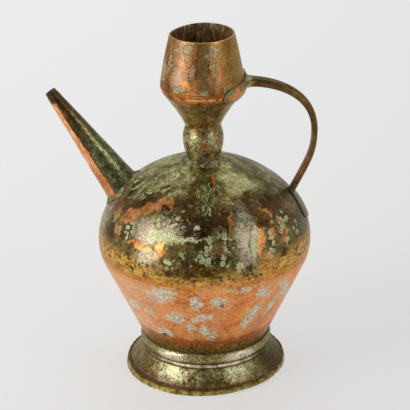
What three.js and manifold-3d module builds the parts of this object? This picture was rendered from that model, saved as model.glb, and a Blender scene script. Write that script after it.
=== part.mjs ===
// Copper ewer with a straight spout, a bowed handle, a flaring cup mouth and a spreading foot.
// Millimetres, +Z up. The foot stands on z = 0 and the handle bows out towards +X.
import * as THREE from 'three';
import { mergeVertices } from 'three/addons/utils/BufferGeometryUtils.js';
import Module from 'manifold-3d';

const wasm = await Module();
wasm.setup();

const DEGREE = Math.PI / 180;

// Sheet metal and joints
const SHEET = 1.5; // copper sheet of the body, neck and mouth
const FOOT_SHEET = 1.2;
const SOLDER_GAP = 0.3; // room for solder between joined pieces

// Foot
const FOOT_RADIUS = 78; // outside of the binding where it stands
const FOOT_HEIGHT = 37; // upper edge of the collar that hugs the bowl
const COLLAR_LIP = 1.6; // plain strip above the round bead
const BEAD_HEIGHT = 8.6;
const BEAD_SWELL = 1.2; // how far the bead stands out from the collar
const GROOVE_WIDTH = 2;
const GROOVE_DEPTH = 1.1;
const FILLET_HEIGHT = 2.2; // thin raised line between the two grooves
const FLARE_PULL_OUT = 2.8; // the hollow of the flare is drawn to this far outside the collar
const FLARE_PULL_UP = 7.2; // and to this height above the binding

// Brass binding folded over the foot's rim
const BINDING_SHEET = 0.9;
const BINDING_HEIGHT = 5.6; // outer leg
const BINDING_FOLD = 3.6; // inner leg
const BINDING_SPREAD = 1.2; // its outer face leans out by this much towards the ground
const BINDING_RAGGED = 0.5; // unevenness of its upper edge
const RAGGED_LOBES = 10; // ups and downs of that edge
const RIM_WAVE = 1; // how far the hammered rim wanders from a true circle
const RIM_LOBES = [3, 7, 11]; // its bulges, each kind weaker the more of them there are

// Body
const BELLY_RADIUS = 101.6;
const BELLY_HEIGHT = 134;
const SHOULDER_RISE = 80.5; // from the belly to the dome's apex
const SHOULDER_FULLNESS = 1.7; // 2 is a true ellipse, less is flatter
const KNUCKLE_RADIUS = 50; // curve under the belly, in side view
const BOWL_TAPER = 25.4 * DEGREE; // slope of the bowl's wall from upright
const BOWL_SINK = 8; // depth of the bowl's underside below the collar's edge
const BOWL_CORNER = 5; // height of the turn from the wall into the bottom
const SEAM_DROP = 9; // from the belly's widest line down to the shoulder's lower edge
const SEAM_LAP = 9; // height of the bowl's rim inside the shoulder

// Neck
const NECK_RADIUS = 15.3; // outside, just above the shoulder
const NECK_SPREAD = 1.4; // the lower edge turns out by this much
const NECK_TURN = 2; // height of that turn
const SPIGOT_HEIGHT = 7; // upturned edge of the shoulder inside the neck
const BULB_RADIUS = 19.5;
const BULB_WIDEST = 22.5; // above the neck's lower edge
const BULB_LENGTH = 34.5;
const WAIST_RADIUS = 16.8;
const SLEEVE_LENGTH = 6; // end of the funnel inside the bulb

// Mouth
const FUNNEL_HEIGHT = 39; // from the waist to the cup's sharp edge
const FUNNEL_PULL_OUT = 4.6; // the funnel's curve is drawn to this far outside the waist
const FUNNEL_PULL_UP = 12; // and to this height above it
const CUP_RADIUS = 39.6;
const CUP_BAND = 5; // height of the turned-in band under the sharp edge
const CUP_BAND_IN = 1.6; // how far it turns in
const CUP_LIP = 5; // rim of the funnel inside the collar
const CUP_LIP_IN = 0.6; // how far that rim leans in
const COLLAR_SWELL = 0.2; // the collar's curve is drawn to this far outside the sharp edge
const COLLAR_UPRIGHT = 9; // and to this height above it
const MOUTH_RADIUS = 30.5;
const MOUTH_HEIGHT = 51.1; // from the sharp edge to the rim
const RIM_ROUND = 0.5; // bevel of the rim's edges

// Spout
const SPOUT_AZIMUTH = 166 * DEGREE; // a little round from the point opposite the handle
const SPOUT_ABOVE_BELLY = 47; // where its axis meets the shoulder
const SPOUT_RISE = 54.2 * DEGREE; // slope of its axis from level
const SPOUT_LENGTH = 113.6;
const SPOUT_BASE_RADIUS = 17.7;
const SPOUT_TIP_RADIUS = 5.65;
const SPOUT_SHEET = 1.1;
const SPOUT_LAP = 0.6; // step of the rolled seam
const SPOUT_LAP_ANGLE = 50 * DEGREE; // stretch over which the outer layer climbs onto the inner one
const SPOUT_SEAM_ANGLE = -30 * DEGREE; // from the spout's side, below level
const SPOUT_ROOT = 40; // length of cutting shapes below the axis point
const SPOUT_HOLE_RADIUS = 12; // opening in the shoulder under the spout
const FLANGE_WIDTH = 3.4;
const FLANGE_THICKNESS = 1.1;

// Handle bar
const HANDLE_TOP = 2.6; // centre of the bar above the cup's sharp edge
const LANDING_ABOVE_BELLY = 43; // where the bar's centre meets the shoulder
const HANDLE_REACH = 105; // centre of the bar at its furthest from the axis
const BEND_BELOW_EDGE = 49.1; // from the cup's sharp edge down to that point
const BOW_RUN = 30.8; // pull along the level start
const BOW_CREST = 36.9; // upright pull above the furthest point
const BOW_FALL = 23.2; // upright pull below it
const BOW_TOE_OUT = 14.5; // pull point outside the landing
const BOW_TOE_UP = 28.5; // and above it
const HANDLE_WIDTH = 12.6;
const HANDLE_THICKNESS = 5.6;
const HANDLE_ROOT = 9.6; // thickness of the bar at the cup
const HANDLE_SINK = 3; // the bar's ends run on by this much before they are cut to the walls
const TOE_SINK = 1.5; // and at the shoulder by this much inwards
const HANDLE_FADE = 0.62; // share of the bar's length over which it thins from the root
const ROOT_SPREAD = 9; // the bar widens by this much each way where it runs into the fan plate
const ROOT_SPREAD_RUN = 0.09; // share of the bar's length over which it does so
const OUTSIDE_ROUND = 0.8; // power of the section's outer half, 1 is a true ellipse
const INSIDE_FLAT = 0.35; // and of its inner half, 0 is flat
const TONGUE_RISE = 11; // point that runs up the cup's wall, above the bar's centre
const TONGUE_REACH = 11;
const TONGUE_WIDTH = 6;
const TONGUE_TOE = 6; // its upper end stands out from the mouth's radius by this much

// Plates forged on the handle's ends
const FAN_HALF_WIDTH = 36.2;
const FAN_END = 10; // length of the rounded ends
const END_PULL = 4 / 3; // a curve's pull points stand this much beyond its crest
const FAN_ABOVE = 7.2; // above the cup's sharp edge
const FAN_BELOW = 10.6; // below it
const FAN_THICKNESS = 2;
const LEAF_HALF_WIDTH = 22;
const LEAF_WIDEST_DROP = 16; // from the landing down to the leaf's widest line
const LEAF_TIP_DROP = 25; // from the landing down to the leaf's tip
const LEAF_RISE = 1.5; // from the landing up to the leaf's upper end
const LEAF_THICKNESS = 1.2;
const LEAF_ROUNDNESS = 6; // how far its widest line keeps its width upwards

// Facets
const BODY_SEGMENTS = 50;
const CUP_SEGMENTS = 40;
const NECK_SEGMENTS = 32;
const TUBE_SEGMENTS = 24;
const BAR_SEGMENTS = 12;
const BAR_STATIONS = 22;
const DOME_STEPS = 10;
const CURVE_STEPS = 5; // straight runs along a drawn curve
const BEAD_STEPS = 4;
const BULB_STEPS = 4; // in each half
const CORNER_STEPS = 3;
const KNUCKLE_STEPS = 2;
const WELD = 1e-4; // corners nearer than this are one

// Finishes
const COPPER = { color: 0xb5652f, roughness: 0.42, metalness: 1 };
const PATINA = { color: 0x6a5d36, roughness: 0.5, metalness: 0.9 };
const TINNED = { color: 0x8a8560, roughness: 0.45, metalness: 0.9 };
const BRASS = { color: 0xb39a3c, roughness: 0.4, metalness: 1 };

// Heights and radii that follow from the sizes above
const bowlBottom = FOOT_HEIGHT - BOWL_SINK;
const seamHeight = BELLY_HEIGHT - SEAM_DROP;
const collarInside = bodyRadius(FOOT_HEIGHT) + SOLDER_GAP;
const collarRadius = collarInside + FOOT_SHEET;
const beadFoot = FOOT_HEIGHT - COLLAR_LIP - BEAD_HEIGHT;
const filletTop = beadFoot - GROOVE_WIDTH;
const filletFoot = filletTop - FILLET_HEIGHT;
const flareTop = filletFoot - GROOVE_WIDTH;
const rimHeight = BINDING_SHEET + SOLDER_GAP;
const rimRadius = FOOT_RADIUS - BINDING_SHEET - SOLDER_GAP;
const spigotRadius = NECK_RADIUS - SHEET - SOLDER_GAP;
const neckFoot = domeHeight(NECK_RADIUS - SHEET + NECK_SPREAD) + SOLDER_GAP;
const waist = neckFoot + BULB_LENGTH;
const cupEdge = waist + FUNNEL_HEIGHT;
const mouthTop = cupEdge + MOUTH_HEIGHT;
const spoutHeight = BELLY_HEIGHT + SPOUT_ABOVE_BELLY;
const landingHeight = BELLY_HEIGHT + LANDING_ABOVE_BELLY;
const bendHeight = cupEdge - BEND_BELOW_EDGE;

function point(radius, height) {
  return new THREE.Vector2(radius, height);
}

// Radius of the body's outside at a height: dome above the belly, knuckle and straight taper below.
function bodyRadius(height) {
  const above = height - BELLY_HEIGHT;
  if (above >= 0) {
    return BELLY_RADIUS * (1 - (above / SHOULDER_RISE) ** 2) ** (1 / SHOULDER_FULLNESS);
  }
  const drop = Math.min(-above, KNUCKLE_RADIUS * Math.sin(BOWL_TAPER));
  const inset = KNUCKLE_RADIUS - Math.sqrt(KNUCKLE_RADIUS ** 2 - drop ** 2);
  return BELLY_RADIUS - inset - (-above - drop) * Math.tan(BOWL_TAPER);
}

// Height of the dome at a radius.
function domeHeight(radius) {
  return BELLY_HEIGHT + SHOULDER_RISE * Math.sqrt(1 - (radius / BELLY_RADIUS) ** SHOULDER_FULLNESS);
}

// Body's outside between two heights, upwards, set in by a distance.
function bodyOutline(from, to, steps, inset = 0) {
  const points = [];
  for (let step = 0; step <= steps; step += 1) {
    const height = from + ((to - from) * step) / steps;
    points.push(point(bodyRadius(height) - inset, height));
  }
  return points;
}

// Dome from the belly in to a radius, in even turns of its curve.
function domeOutline(innerRadius, steps) {
  const end = Math.acos((innerRadius / BELLY_RADIUS) ** (SHOULDER_FULLNESS / 2));
  const points = [];
  for (let step = 0; step <= steps; step += 1) {
    const turn = (end * step) / steps;
    const radius = BELLY_RADIUS * Math.cos(turn) ** (2 / SHOULDER_FULLNESS);
    points.push(point(radius, BELLY_HEIGHT + SHOULDER_RISE * Math.sin(turn)));
  }
  return points;
}

// Moves an outline along its normals: outwards, where it runs upwards on the outside of a piece.
function offset(points, distance) {
  const last = points.length - 1;
  return points.map((here, index) => {
    const into = here.clone().sub(points[Math.max(index - 1, 0)]).normalize();
    const out = points[Math.min(index + 1, last)].clone().sub(here).normalize();
    const along = into.clone().add(out).normalize();
    const miter = Math.max(into.dot(along), out.dot(along));
    return point(here.x + (along.y * distance) / miter, here.y - (along.x * distance) / miter);
  });
}

// Closed section of a sheet with the outline on its outer face and both of its edges cut level.
function sheetSection(outline, thickness) {
  const first = outline[0];
  const last = outline[outline.length - 1];
  const between = offset(outline, -thickness).slice(1, -1).reverse();
  const edges = [first, last].map((edge) => point(edge.x - thickness, edge.y));
  return [...outline, edges[1], ...between, edges[0], first];
}

// Closed section that lies on an outline, from the solder gap to a thickness outside it.
function layerSection(outline, thickness) {
  const near = offset(outline, SOLDER_GAP).reverse();
  return [...offset(outline, SOLDER_GAP + thickness), ...near, offset(outline, SOLDER_GAP + thickness)[0]];
}

function revolve(section, segments) {
  const geometry = new THREE.LatheGeometry(section, segments);
  geometry.rotateX(Math.PI / 2);
  return geometry;
}

// Everything between the axis and an outline grown by the solder gap.
function keepOut(outline, segments) {
  const grown = offset(outline, SOLDER_GAP);
  const low = point(0, grown[0].y);
  const high = point(0, grown[grown.length - 1].y);
  return toSolid(revolve([low, ...grown, high], segments));
}

// Closed geometry as a solid that can be joined and cut.
function toSolid(geometry) {
  const bare = geometry.clone();
  bare.deleteAttribute('normal');
  bare.deleteAttribute('uv');
  const welded = mergeVertices(bare, WELD);
  const corners = welded.index.array;
  const kept = [];
  for (let first = 0; first < corners.length; first += 3) {
    const [a, b, c] = corners.slice(first, first + 3);
    if (a !== b && b !== c && c !== a) {
      kept.push(a, b, c);
    }
  }
  const vertProperties = Float32Array.from(welded.attributes.position.array);
  const triVerts = Uint32Array.from(kept);
  return new wasm.Manifold(new wasm.Mesh({ numProp: 3, vertProperties, triVerts }));
}

function toGeometry(solid) {
  const mesh = solid.getMesh();
  const geometry = new THREE.BufferGeometry();
  geometry.setAttribute('position', new THREE.BufferAttribute(mesh.vertProperties, 3));
  geometry.setIndex(new THREE.BufferAttribute(mesh.triVerts, 1));
  geometry.computeVertexNormals();
  return geometry;
}

// Skin over rings of equally many points, closed at both ends.
function loft(rings) {
  const count = rings[0].length;
  const faces = [];
  for (let ring = 0; ring + 1 < rings.length; ring += 1) {
    for (let side = 0; side < count; side += 1) {
      const next = (side + 1) % count;
      const low = ring * count;
      const high = low + count;
      faces.push(low + side, low + next, high + next);
      faces.push(low + side, high + next, high + side);
    }
  }
  const last = (rings.length - 1) * count;
  for (let side = 1; side + 1 < count; side += 1) {
    faces.push(0, side + 1, side);
    faces.push(last, last + side, last + side + 1);
  }
  const geometry = new THREE.BufferGeometry().setFromPoints(rings.flat());
  geometry.setIndex(faces);
  geometry.computeVertexNormals();
  return geometry;
}

function piece(name, geometry, finish) {
  const mesh = new THREE.Mesh(geometry, new THREE.MeshStandardMaterial(finish));
  mesh.name = name;
  return mesh;
}

// Bends a revolved foot piece to the hammered rim: most at the ground, nothing above the flare.
function waveRim(geometry) {
  const position = geometry.attributes.position;
  for (let index = 0; index < position.count; index += 1) {
    const x = position.getX(index);
    const y = position.getY(index);
    const angle = Math.atan2(y, x);
    const share = Math.max(0, 1 - position.getZ(index) / flareTop);
    const wave = RIM_LOBES.reduce((sum, lobes) => sum + Math.sin(lobes * (angle + 1)) / lobes, 0);
    const scale = 1 + (RIM_WAVE * share * wave) / FOOT_RADIUS;
    position.setXY(index, x * scale, y * scale);
  }
  return geometry;
}

// Foot: skirt inside the binding, hollow flare, two grooves with a fillet, round bead and collar lip.
function makeFoot() {
  const skirtTop = point(rimRadius - BINDING_SPREAD, BINDING_HEIGHT);
  const hollow = point(collarRadius + FLARE_PULL_OUT, BINDING_HEIGHT + FLARE_PULL_UP);
  const throat = point(collarRadius - GROOVE_DEPTH, flareTop);
  const flare = new THREE.QuadraticBezierCurve(skirtTop, hollow, throat).getPoints(CURVE_STEPS);
  const outside = [point(rimRadius, rimHeight), ...flare];
  outside.push(point(collarRadius, filletFoot), point(collarRadius, filletTop));
  outside.push(point(collarRadius - GROOVE_DEPTH, (filletTop + beadFoot) / 2));
  for (let step = 0; step <= BEAD_STEPS; step += 1) {
    const share = step / BEAD_STEPS;
    const swell = BEAD_SWELL * Math.sin(Math.PI * share);
    outside.push(point(collarRadius + swell, beadFoot + BEAD_HEIGHT * share));
  }
  outside.push(point(collarRadius, FOOT_HEIGHT));
  const inside = [point(collarInside, FOOT_HEIGHT), point(collarInside, beadFoot)];
  inside.push(...offset(flare, -FOOT_SHEET).reverse());
  inside.push(point(rimRadius - FOOT_SHEET, rimHeight));
  return piece('foot_ring', waveRim(revolve([...outside, ...inside, outside[0]], BODY_SEGMENTS)), TINNED);
}

// Brass strip folded over the rim: outer leg, underside and inner leg.
function makeBinding() {
  const slotInside = rimRadius - FOOT_SHEET - SOLDER_GAP;
  const lean = (height) => (BINDING_SPREAD * height) / BINDING_HEIGHT;
  const section = [
    point(FOOT_RADIUS, 0),
    point(FOOT_RADIUS - BINDING_SPREAD, BINDING_HEIGHT),
    point(FOOT_RADIUS - BINDING_SPREAD - BINDING_SHEET, BINDING_HEIGHT),
    point(FOOT_RADIUS - BINDING_SHEET, BINDING_SHEET),
    point(slotInside, BINDING_SHEET),
    point(slotInside - lean(BINDING_FOLD), BINDING_FOLD),
    point(slotInside - lean(BINDING_FOLD) - BINDING_SHEET, BINDING_FOLD),
    point(slotInside - BINDING_SHEET, 0),
    point(FOOT_RADIUS, 0),
  ];
  const geometry = waveRim(revolve(section, BODY_SEGMENTS));
  const position = geometry.attributes.position;
  for (let index = 0; index < position.count; index += 1) {
    const height = position.getZ(index);
    const angle = Math.atan2(position.getY(index), position.getX(index));
    const ragged = Math.sin(RAGGED_LOBES * angle) * Math.cos((RAGGED_LOBES / 2) * angle);
    position.setZ(index, height > BINDING_FOLD + SOLDER_GAP ? height + BINDING_RAGGED * ragged : height);
  }
  return piece('foot_binding', geometry, BRASS);
}

// Raised bowl with a flat bottom; its rim is set in to stand inside the shoulder.
function makeBowl() {
  const knuckleFoot = BELLY_HEIGHT - KNUCKLE_RADIUS * Math.sin(BOWL_TAPER);
  const wallFoot = bowlBottom + BOWL_CORNER;
  const bottomEdge = point(bodyRadius(bowlBottom) - BOWL_CORNER, bowlBottom);
  const corner = new THREE.QuadraticBezierCurve(
    bottomEdge,
    point(bodyRadius(bowlBottom), bowlBottom),
    point(bodyRadius(wallFoot), wallFoot),
  );
  const outline = [point(0, bowlBottom), ...corner.getPoints(CORNER_STEPS)];
  const step = seamHeight - SOLDER_GAP;
  outline.push(...bodyOutline(Math.min(knuckleFoot, step - SOLDER_GAP), step, KNUCKLE_STEPS));
  const setIn = SHEET + SOLDER_GAP;
  outline.push(...bodyOutline(step, seamHeight + SEAM_LAP, KNUCKLE_STEPS, setIn));
  const inside = offset(outline, -SHEET).reverse();
  return piece('body_bowl', revolve([...outline, ...inside], BODY_SEGMENTS), COPPER);
}

// Domed shoulder with a spigot for the neck and a hole under the spout.
function makeShoulder(spoutAxis) {
  const outline = bodyOutline(seamHeight, BELLY_HEIGHT, KNUCKLE_STEPS);
  outline.push(...domeOutline(spigotRadius + SHEET, DOME_STEPS).slice(1));
  const spigotFoot = domeHeight(spigotRadius + SHEET);
  outline.push(point(spigotRadius, spigotFoot + SHEET / 2));
  outline.push(point(spigotRadius, spigotFoot + SPIGOT_HEIGHT));
  const shell = toSolid(revolve(sheetSection(outline, SHEET), BODY_SEGMENTS));
  const drill = toSolid(spoutCone(spoutAxis, () => SPOUT_HOLE_RADIUS, -SPOUT_ROOT, SPOUT_ROOT));
  return piece('body_shoulder', toGeometry(shell.subtract(drill)), PATINA);
}

// Bulb between the shoulder and the cup, slipped over the spigot.
function makeBulb() {
  const outline = [point(NECK_RADIUS + NECK_SPREAD, neckFoot)];
  for (let step = 0; step <= BULB_STEPS; step += 1) {
    const share = step / BULB_STEPS;
    const radius = NECK_RADIUS + (BULB_RADIUS - NECK_RADIUS) * Math.sin((Math.PI / 2) * share);
    outline.push(point(radius, neckFoot + NECK_TURN + (BULB_WIDEST - NECK_TURN) * share));
  }
  for (let step = 1; step <= BULB_STEPS; step += 1) {
    const share = step / BULB_STEPS;
    const radius = WAIST_RADIUS + (BULB_RADIUS - WAIST_RADIUS) * Math.cos((Math.PI / 2) * share);
    outline.push(point(radius, neckFoot + BULB_WIDEST + (BULB_LENGTH - BULB_WIDEST) * share));
  }
  return piece('neck_bulb', revolve(sheetSection(outline, SHEET), NECK_SEGMENTS), PATINA);
}

// Outside of the funnel from the waist out to the foot of the cup's band.
function funnelCurve() {
  return new THREE.QuadraticBezierCurve(
    point(WAIST_RADIUS, waist + SOLDER_GAP),
    point(WAIST_RADIUS + FUNNEL_PULL_OUT, waist + FUNNEL_PULL_UP),
    point(CUP_RADIUS - CUP_BAND_IN, cupEdge - CUP_BAND),
  ).getPoints(CURVE_STEPS);
}

// Outside of the collar from the sharp edge in to the mouth.
function collarCurve() {
  return new THREE.QuadraticBezierCurve(
    point(CUP_RADIUS, cupEdge + SOLDER_GAP),
    point(CUP_RADIUS + COLLAR_SWELL, cupEdge + COLLAR_UPRIGHT),
    point(MOUTH_RADIUS, mouthTop - RIM_ROUND),
  ).getPoints(CURVE_STEPS);
}

// Lower half of the cup: sleeve inside the bulb, funnel, and a rim set in for the collar.
function makeFunnel() {
  const sleeve = WAIST_RADIUS - SHEET - SOLDER_GAP;
  const curve = funnelCurve();
  const lip = CUP_RADIUS - SHEET - SOLDER_GAP;
  const outside = [point(sleeve, waist - SLEEVE_LENGTH), point(sleeve, waist + SOLDER_GAP), ...curve];
  outside.push(point(CUP_RADIUS, cupEdge));
  outside.push(point(lip, cupEdge), point(lip - CUP_LIP_IN, cupEdge + CUP_LIP));
  const lipInside = lip - SHEET;
  const inside = offset(curve, -SHEET).filter((spot) => spot.x < lipInside - SHEET && spot.y > waist + SHEET);
  inside.unshift(point(sleeve - SHEET, waist - SLEEVE_LENGTH), point(sleeve - SHEET, waist + SHEET));
  inside.push(point(lipInside, cupEdge - SHEET), point(lipInside - CUP_LIP_IN, cupEdge + CUP_LIP));
  const section = [...outside, ...inside.reverse(), outside[0]];
  return piece('mouth_funnel', revolve(section, CUP_SEGMENTS), PATINA);
}

// Upper half of the cup, drawn in to the open mouth.
function makeCollar() {
  const outside = collarCurve();
  const inside = outside.map((spot) => point(spot.x - SHEET, spot.y)).reverse();
  const rim = [point(MOUTH_RADIUS - RIM_ROUND, mouthTop), point(MOUTH_RADIUS - SHEET + RIM_ROUND, mouthTop)];
  const section = [...outside, ...rim, ...inside, outside[0]];
  return piece('mouth_collar', revolve(section, CUP_SEGMENTS), COPPER);
}

// Frame of the spout: where its axis meets the shoulder, its direction, its side and its upper side.
function makeSpoutAxis() {
  const away = new THREE.Vector3(Math.cos(SPOUT_AZIMUTH), Math.sin(SPOUT_AZIMUTH), 0);
  const up = new THREE.Vector3(0, 0, 1);
  const root = away.clone().multiplyScalar(bodyRadius(spoutHeight)).addScaledVector(up, spoutHeight);
  const along = away.clone().multiplyScalar(Math.cos(SPOUT_RISE)).addScaledVector(up, Math.sin(SPOUT_RISE));
  const side = new THREE.Vector3().crossVectors(up, away);
  const top = new THREE.Vector3().crossVectors(along, side);
  return { root, along, side, top };
}

function spoutRadius(distance) {
  return SPOUT_BASE_RADIUS + ((SPOUT_TIP_RADIUS - SPOUT_BASE_RADIUS) * distance) / SPOUT_LENGTH;
}

// Ring across the spout; climb adds to the radius towards the end of the turn.
function spoutRing(axis, radius, distance, climb = 0) {
  const ring = [];
  const sides = climb > 0 ? TUBE_SEGMENTS : TUBE_SEGMENTS - 1;
  for (let side = 0; side <= sides; side += 1) {
    const turn = (2 * Math.PI * side) / TUBE_SEGMENTS;
    const left = Math.max(0, 1 - (2 * Math.PI - turn) / SPOUT_LAP_ANGLE);
    const reach = radius + climb * left;
    const angle = SPOUT_SEAM_ANGLE + turn;
    const spot = axis.root.clone().addScaledVector(axis.along, distance);
    spot.addScaledVector(axis.side, reach * Math.cos(angle));
    spot.addScaledVector(axis.top, reach * Math.sin(angle));
    ring.push(spot);
  }
  return ring;
}

// Cone about the spout's axis between two distances along it.
function spoutCone(axis, radiusAt, from, to, climb = 0) {
  return loft([spoutRing(axis, radiusAt(from), from, climb), spoutRing(axis, radiusAt(to), to, climb)]);
}

// Rolled cone with a lapped seam, cut to sit on the shoulder.
function makeSpout(axis) {
  const skin = toSolid(spoutCone(axis, spoutRadius, -SPOUT_ROOT, SPOUT_LENGTH, SPOUT_LAP));
  const inside = (distance) => spoutRadius(distance) - SPOUT_SHEET;
  const bore = toSolid(spoutCone(axis, inside, -SPOUT_ROOT - SHEET, SPOUT_LENGTH + SHEET));
  const shoulder = keepOut(domeOutline(NECK_RADIUS, DOME_STEPS), BODY_SEGMENTS);
  return piece('spout', toGeometry(skin.subtract(bore).subtract(shoulder)), PATINA);
}

// Flat ring round the spout's base that follows the shoulder.
function makeFlange(axis) {
  const layer = layerSection(domeOutline(NECK_RADIUS, DOME_STEPS), FLANGE_THICKNESS);
  const hug = (distance) => spoutRadius(distance) + SPOUT_LAP + SOLDER_GAP;
  const edge = (distance) => hug(distance) + FLANGE_WIDTH;
  const outer = toSolid(spoutCone(axis, edge, -SPOUT_ROOT, SPOUT_ROOT));
  const hole = toSolid(spoutCone(axis, hug, -SPOUT_ROOT - SHEET, SPOUT_ROOT + SHEET));
  const skin = toSolid(revolve(layer, BODY_SEGMENTS));
  return piece('spout_flange', toGeometry(skin.intersect(outer).subtract(hole)), TINNED);
}

// Centre line of the bar, out from the cup, round the bow and down to the shoulder.
function handlePath() {
  const spot = (reach, height) => new THREE.Vector3(reach, 0, height);
  const start = cupEdge + HANDLE_TOP;
  const landing = bodyRadius(landingHeight);
  const path = new THREE.CurvePath();
  path.add(new THREE.CubicBezierCurve3(
    spot(CUP_RADIUS - HANDLE_SINK, start),
    spot(CUP_RADIUS + BOW_RUN, start),
    spot(HANDLE_REACH, bendHeight + BOW_CREST),
    spot(HANDLE_REACH, bendHeight),
  ));
  path.add(new THREE.CubicBezierCurve3(
    spot(HANDLE_REACH, bendHeight),
    spot(HANDLE_REACH, bendHeight - BOW_FALL),
    spot(landing + BOW_TOE_OUT, landingHeight + BOW_TOE_UP),
    spot(landing - TOE_SINK, landingHeight - HANDLE_SINK),
  ));
  return path;
}

// Bar of the handle: round outside, nearly flat inside, thickest at the cup.
function makeBar() {
  const path = handlePath();
  const across = new THREE.Vector3(0, 1, 0);
  const rings = [];
  for (let station = 0; station <= BAR_STATIONS; station += 1) {
    const share = station / BAR_STATIONS;
    const centre = path.getPointAt(share);
    const inwards = new THREE.Vector3().crossVectors(across, path.getTangentAt(share));
    const swell = (HANDLE_ROOT - HANDLE_THICKNESS) * Math.max(0, 1 - share / HANDLE_FADE);
    const half = (HANDLE_THICKNESS + swell) / 2;
    const spread = ROOT_SPREAD * Math.max(0, 1 - share / ROOT_SPREAD_RUN) ** 2;
    const ring = [];
    for (let side = 0; side < BAR_SEGMENTS; side += 1) {
      const angle = (2 * Math.PI * side) / BAR_SEGMENTS;
      const cosine = Math.cos(angle);
      const depth = Math.abs(cosine) ** (cosine > 0 ? INSIDE_FLAT : OUTSIDE_ROUND) * Math.sign(cosine);
      const spot = centre.clone().addScaledVector(inwards, half * depth);
      ring.push(spot.addScaledVector(across, (HANDLE_WIDTH / 2 + spread) * Math.sin(angle)));
    }
    rings.push(ring);
  }
  return toSolid(loft(rings));
}

// Solid of a shape drawn in the Y and Z directions, run out along X from the axis past the belly.
function radialBlock(shape) {
  const depth = BELLY_RADIUS + LEAF_THICKNESS + SHEET;
  const block = new THREE.ExtrudeGeometry(shape, { depth, bevelEnabled: false, curveSegments: CURVE_STEPS });
  block.translate(0, 0, SHEET);
  const x = new THREE.Vector3(1, 0, 0);
  const y = new THREE.Vector3(0, 1, 0);
  const z = new THREE.Vector3(0, 0, 1);
  block.applyMatrix4(new THREE.Matrix4().makeBasis(y, z, x));
  return toSolid(block);
}

// Fan plate: a long rounded tab across the cup's sharp edge.
function fanShape() {
  const top = cupEdge + FAN_ABOVE;
  const foot = cupEdge - FAN_BELOW;
  const straight = FAN_HALF_WIDTH - FAN_END;
  const pull = straight + FAN_END * END_PULL;
  const shape = new THREE.Shape();
  shape.moveTo(-straight, foot);
  shape.lineTo(straight, foot);
  shape.bezierCurveTo(pull, foot, pull, top, straight, top);
  shape.lineTo(-straight, top);
  shape.bezierCurveTo(-pull, top, -pull, foot, -straight, foot);
  return shape;
}

// Leaf plate: narrow under the bar, widest low down, with a blunt tip.
function leafShape() {
  const tip = landingHeight - LEAF_TIP_DROP;
  const widest = landingHeight - LEAF_WIDEST_DROP;
  const top = landingHeight + LEAF_RISE;
  const stem = HANDLE_WIDTH / 2 - SOLDER_GAP;
  const shape = new THREE.Shape();
  shape.moveTo(0, tip);
  shape.quadraticCurveTo(LEAF_HALF_WIDTH, tip, LEAF_HALF_WIDTH, widest);
  shape.quadraticCurveTo(LEAF_HALF_WIDTH, widest + LEAF_ROUNDNESS, stem, top);
  shape.lineTo(-stem, top);
  shape.quadraticCurveTo(-LEAF_HALF_WIDTH, widest + LEAF_ROUNDNESS, -LEAF_HALF_WIDTH, widest);
  shape.quadraticCurveTo(-LEAF_HALF_WIDTH, tip, 0, tip);
  return shape;
}

// Pointed tongue in the corner between the bar and the cup's wall.
function makeTongue() {
  const foot = cupEdge + HANDLE_TOP;
  const tip = foot + TONGUE_RISE;
  const shape = new THREE.Shape();
  shape.moveTo(MOUTH_RADIUS, foot);
  shape.lineTo(CUP_RADIUS + TONGUE_REACH, foot);
  shape.quadraticCurveTo(CUP_RADIUS, foot, MOUTH_RADIUS + TONGUE_TOE, tip);
  shape.lineTo(MOUTH_RADIUS, tip);
  const block = new THREE.ExtrudeGeometry(shape, { depth: TONGUE_WIDTH, bevelEnabled: false, curveSegments: CURVE_STEPS });
  block.translate(0, 0, -TONGUE_WIDTH / 2);
  block.rotateX(Math.PI / 2);
  return toSolid(block);
}

// Handle: one forging whose two end plates lie on the cup and on the shoulder.
function makeHandle() {
  const cupWall = [...funnelCurve(), point(CUP_RADIUS, cupEdge), ...collarCurve()];
  const dome = domeOutline(NECK_RADIUS, DOME_STEPS);
  const cupLayer = toSolid(revolve(layerSection(cupWall, FAN_THICKNESS), CUP_SEGMENTS));
  const domeLayer = toSolid(revolve(layerSection(dome, LEAF_THICKNESS), BODY_SEGMENTS));
  const fan = radialBlock(fanShape()).intersect(cupLayer);
  const leaf = radialBlock(leafShape()).intersect(domeLayer);
  const forging = makeBar().add(makeTongue()).add(fan).add(leaf);
  const fitted = forging.subtract(keepOut(cupWall, CUP_SEGMENTS)).subtract(keepOut(dome, BODY_SEGMENTS));
  return piece('handle', toGeometry(fitted), PATINA);
}

const spoutAxis = makeSpoutAxis();

const foot = new THREE.Group();
foot.add(makeFoot(), makeBinding());

const body = new THREE.Group();
body.add(makeBowl(), makeShoulder(spoutAxis), makeSpout(spoutAxis), makeFlange(spoutAxis));

const neck = new THREE.Group();
neck.add(makeBulb(), makeFunnel(), makeCollar());

const ewer = new THREE.Group();
ewer.add(foot, body, neck, makeHandle());

// The origin is on the ground under the middle of the whole outline.
const box = new THREE.Box3().setFromObject(ewer);
const middle = box.getCenter(new THREE.Vector3());
ewer.position.set(-middle.x, -middle.y, -box.min.z);

export default ewer;
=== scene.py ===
"""Looks of a copper ewer: domed body on a spreading foot, bulbed neck, cup mouth, straight spout and bowed handle."""
import logging
import math
from collections.abc import Callable, Sequence
from dataclasses import dataclass, field
from enum import Enum
from typing import Any

import bmesh
import bpy
from mathutils import Matrix, Vector, noise


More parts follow.
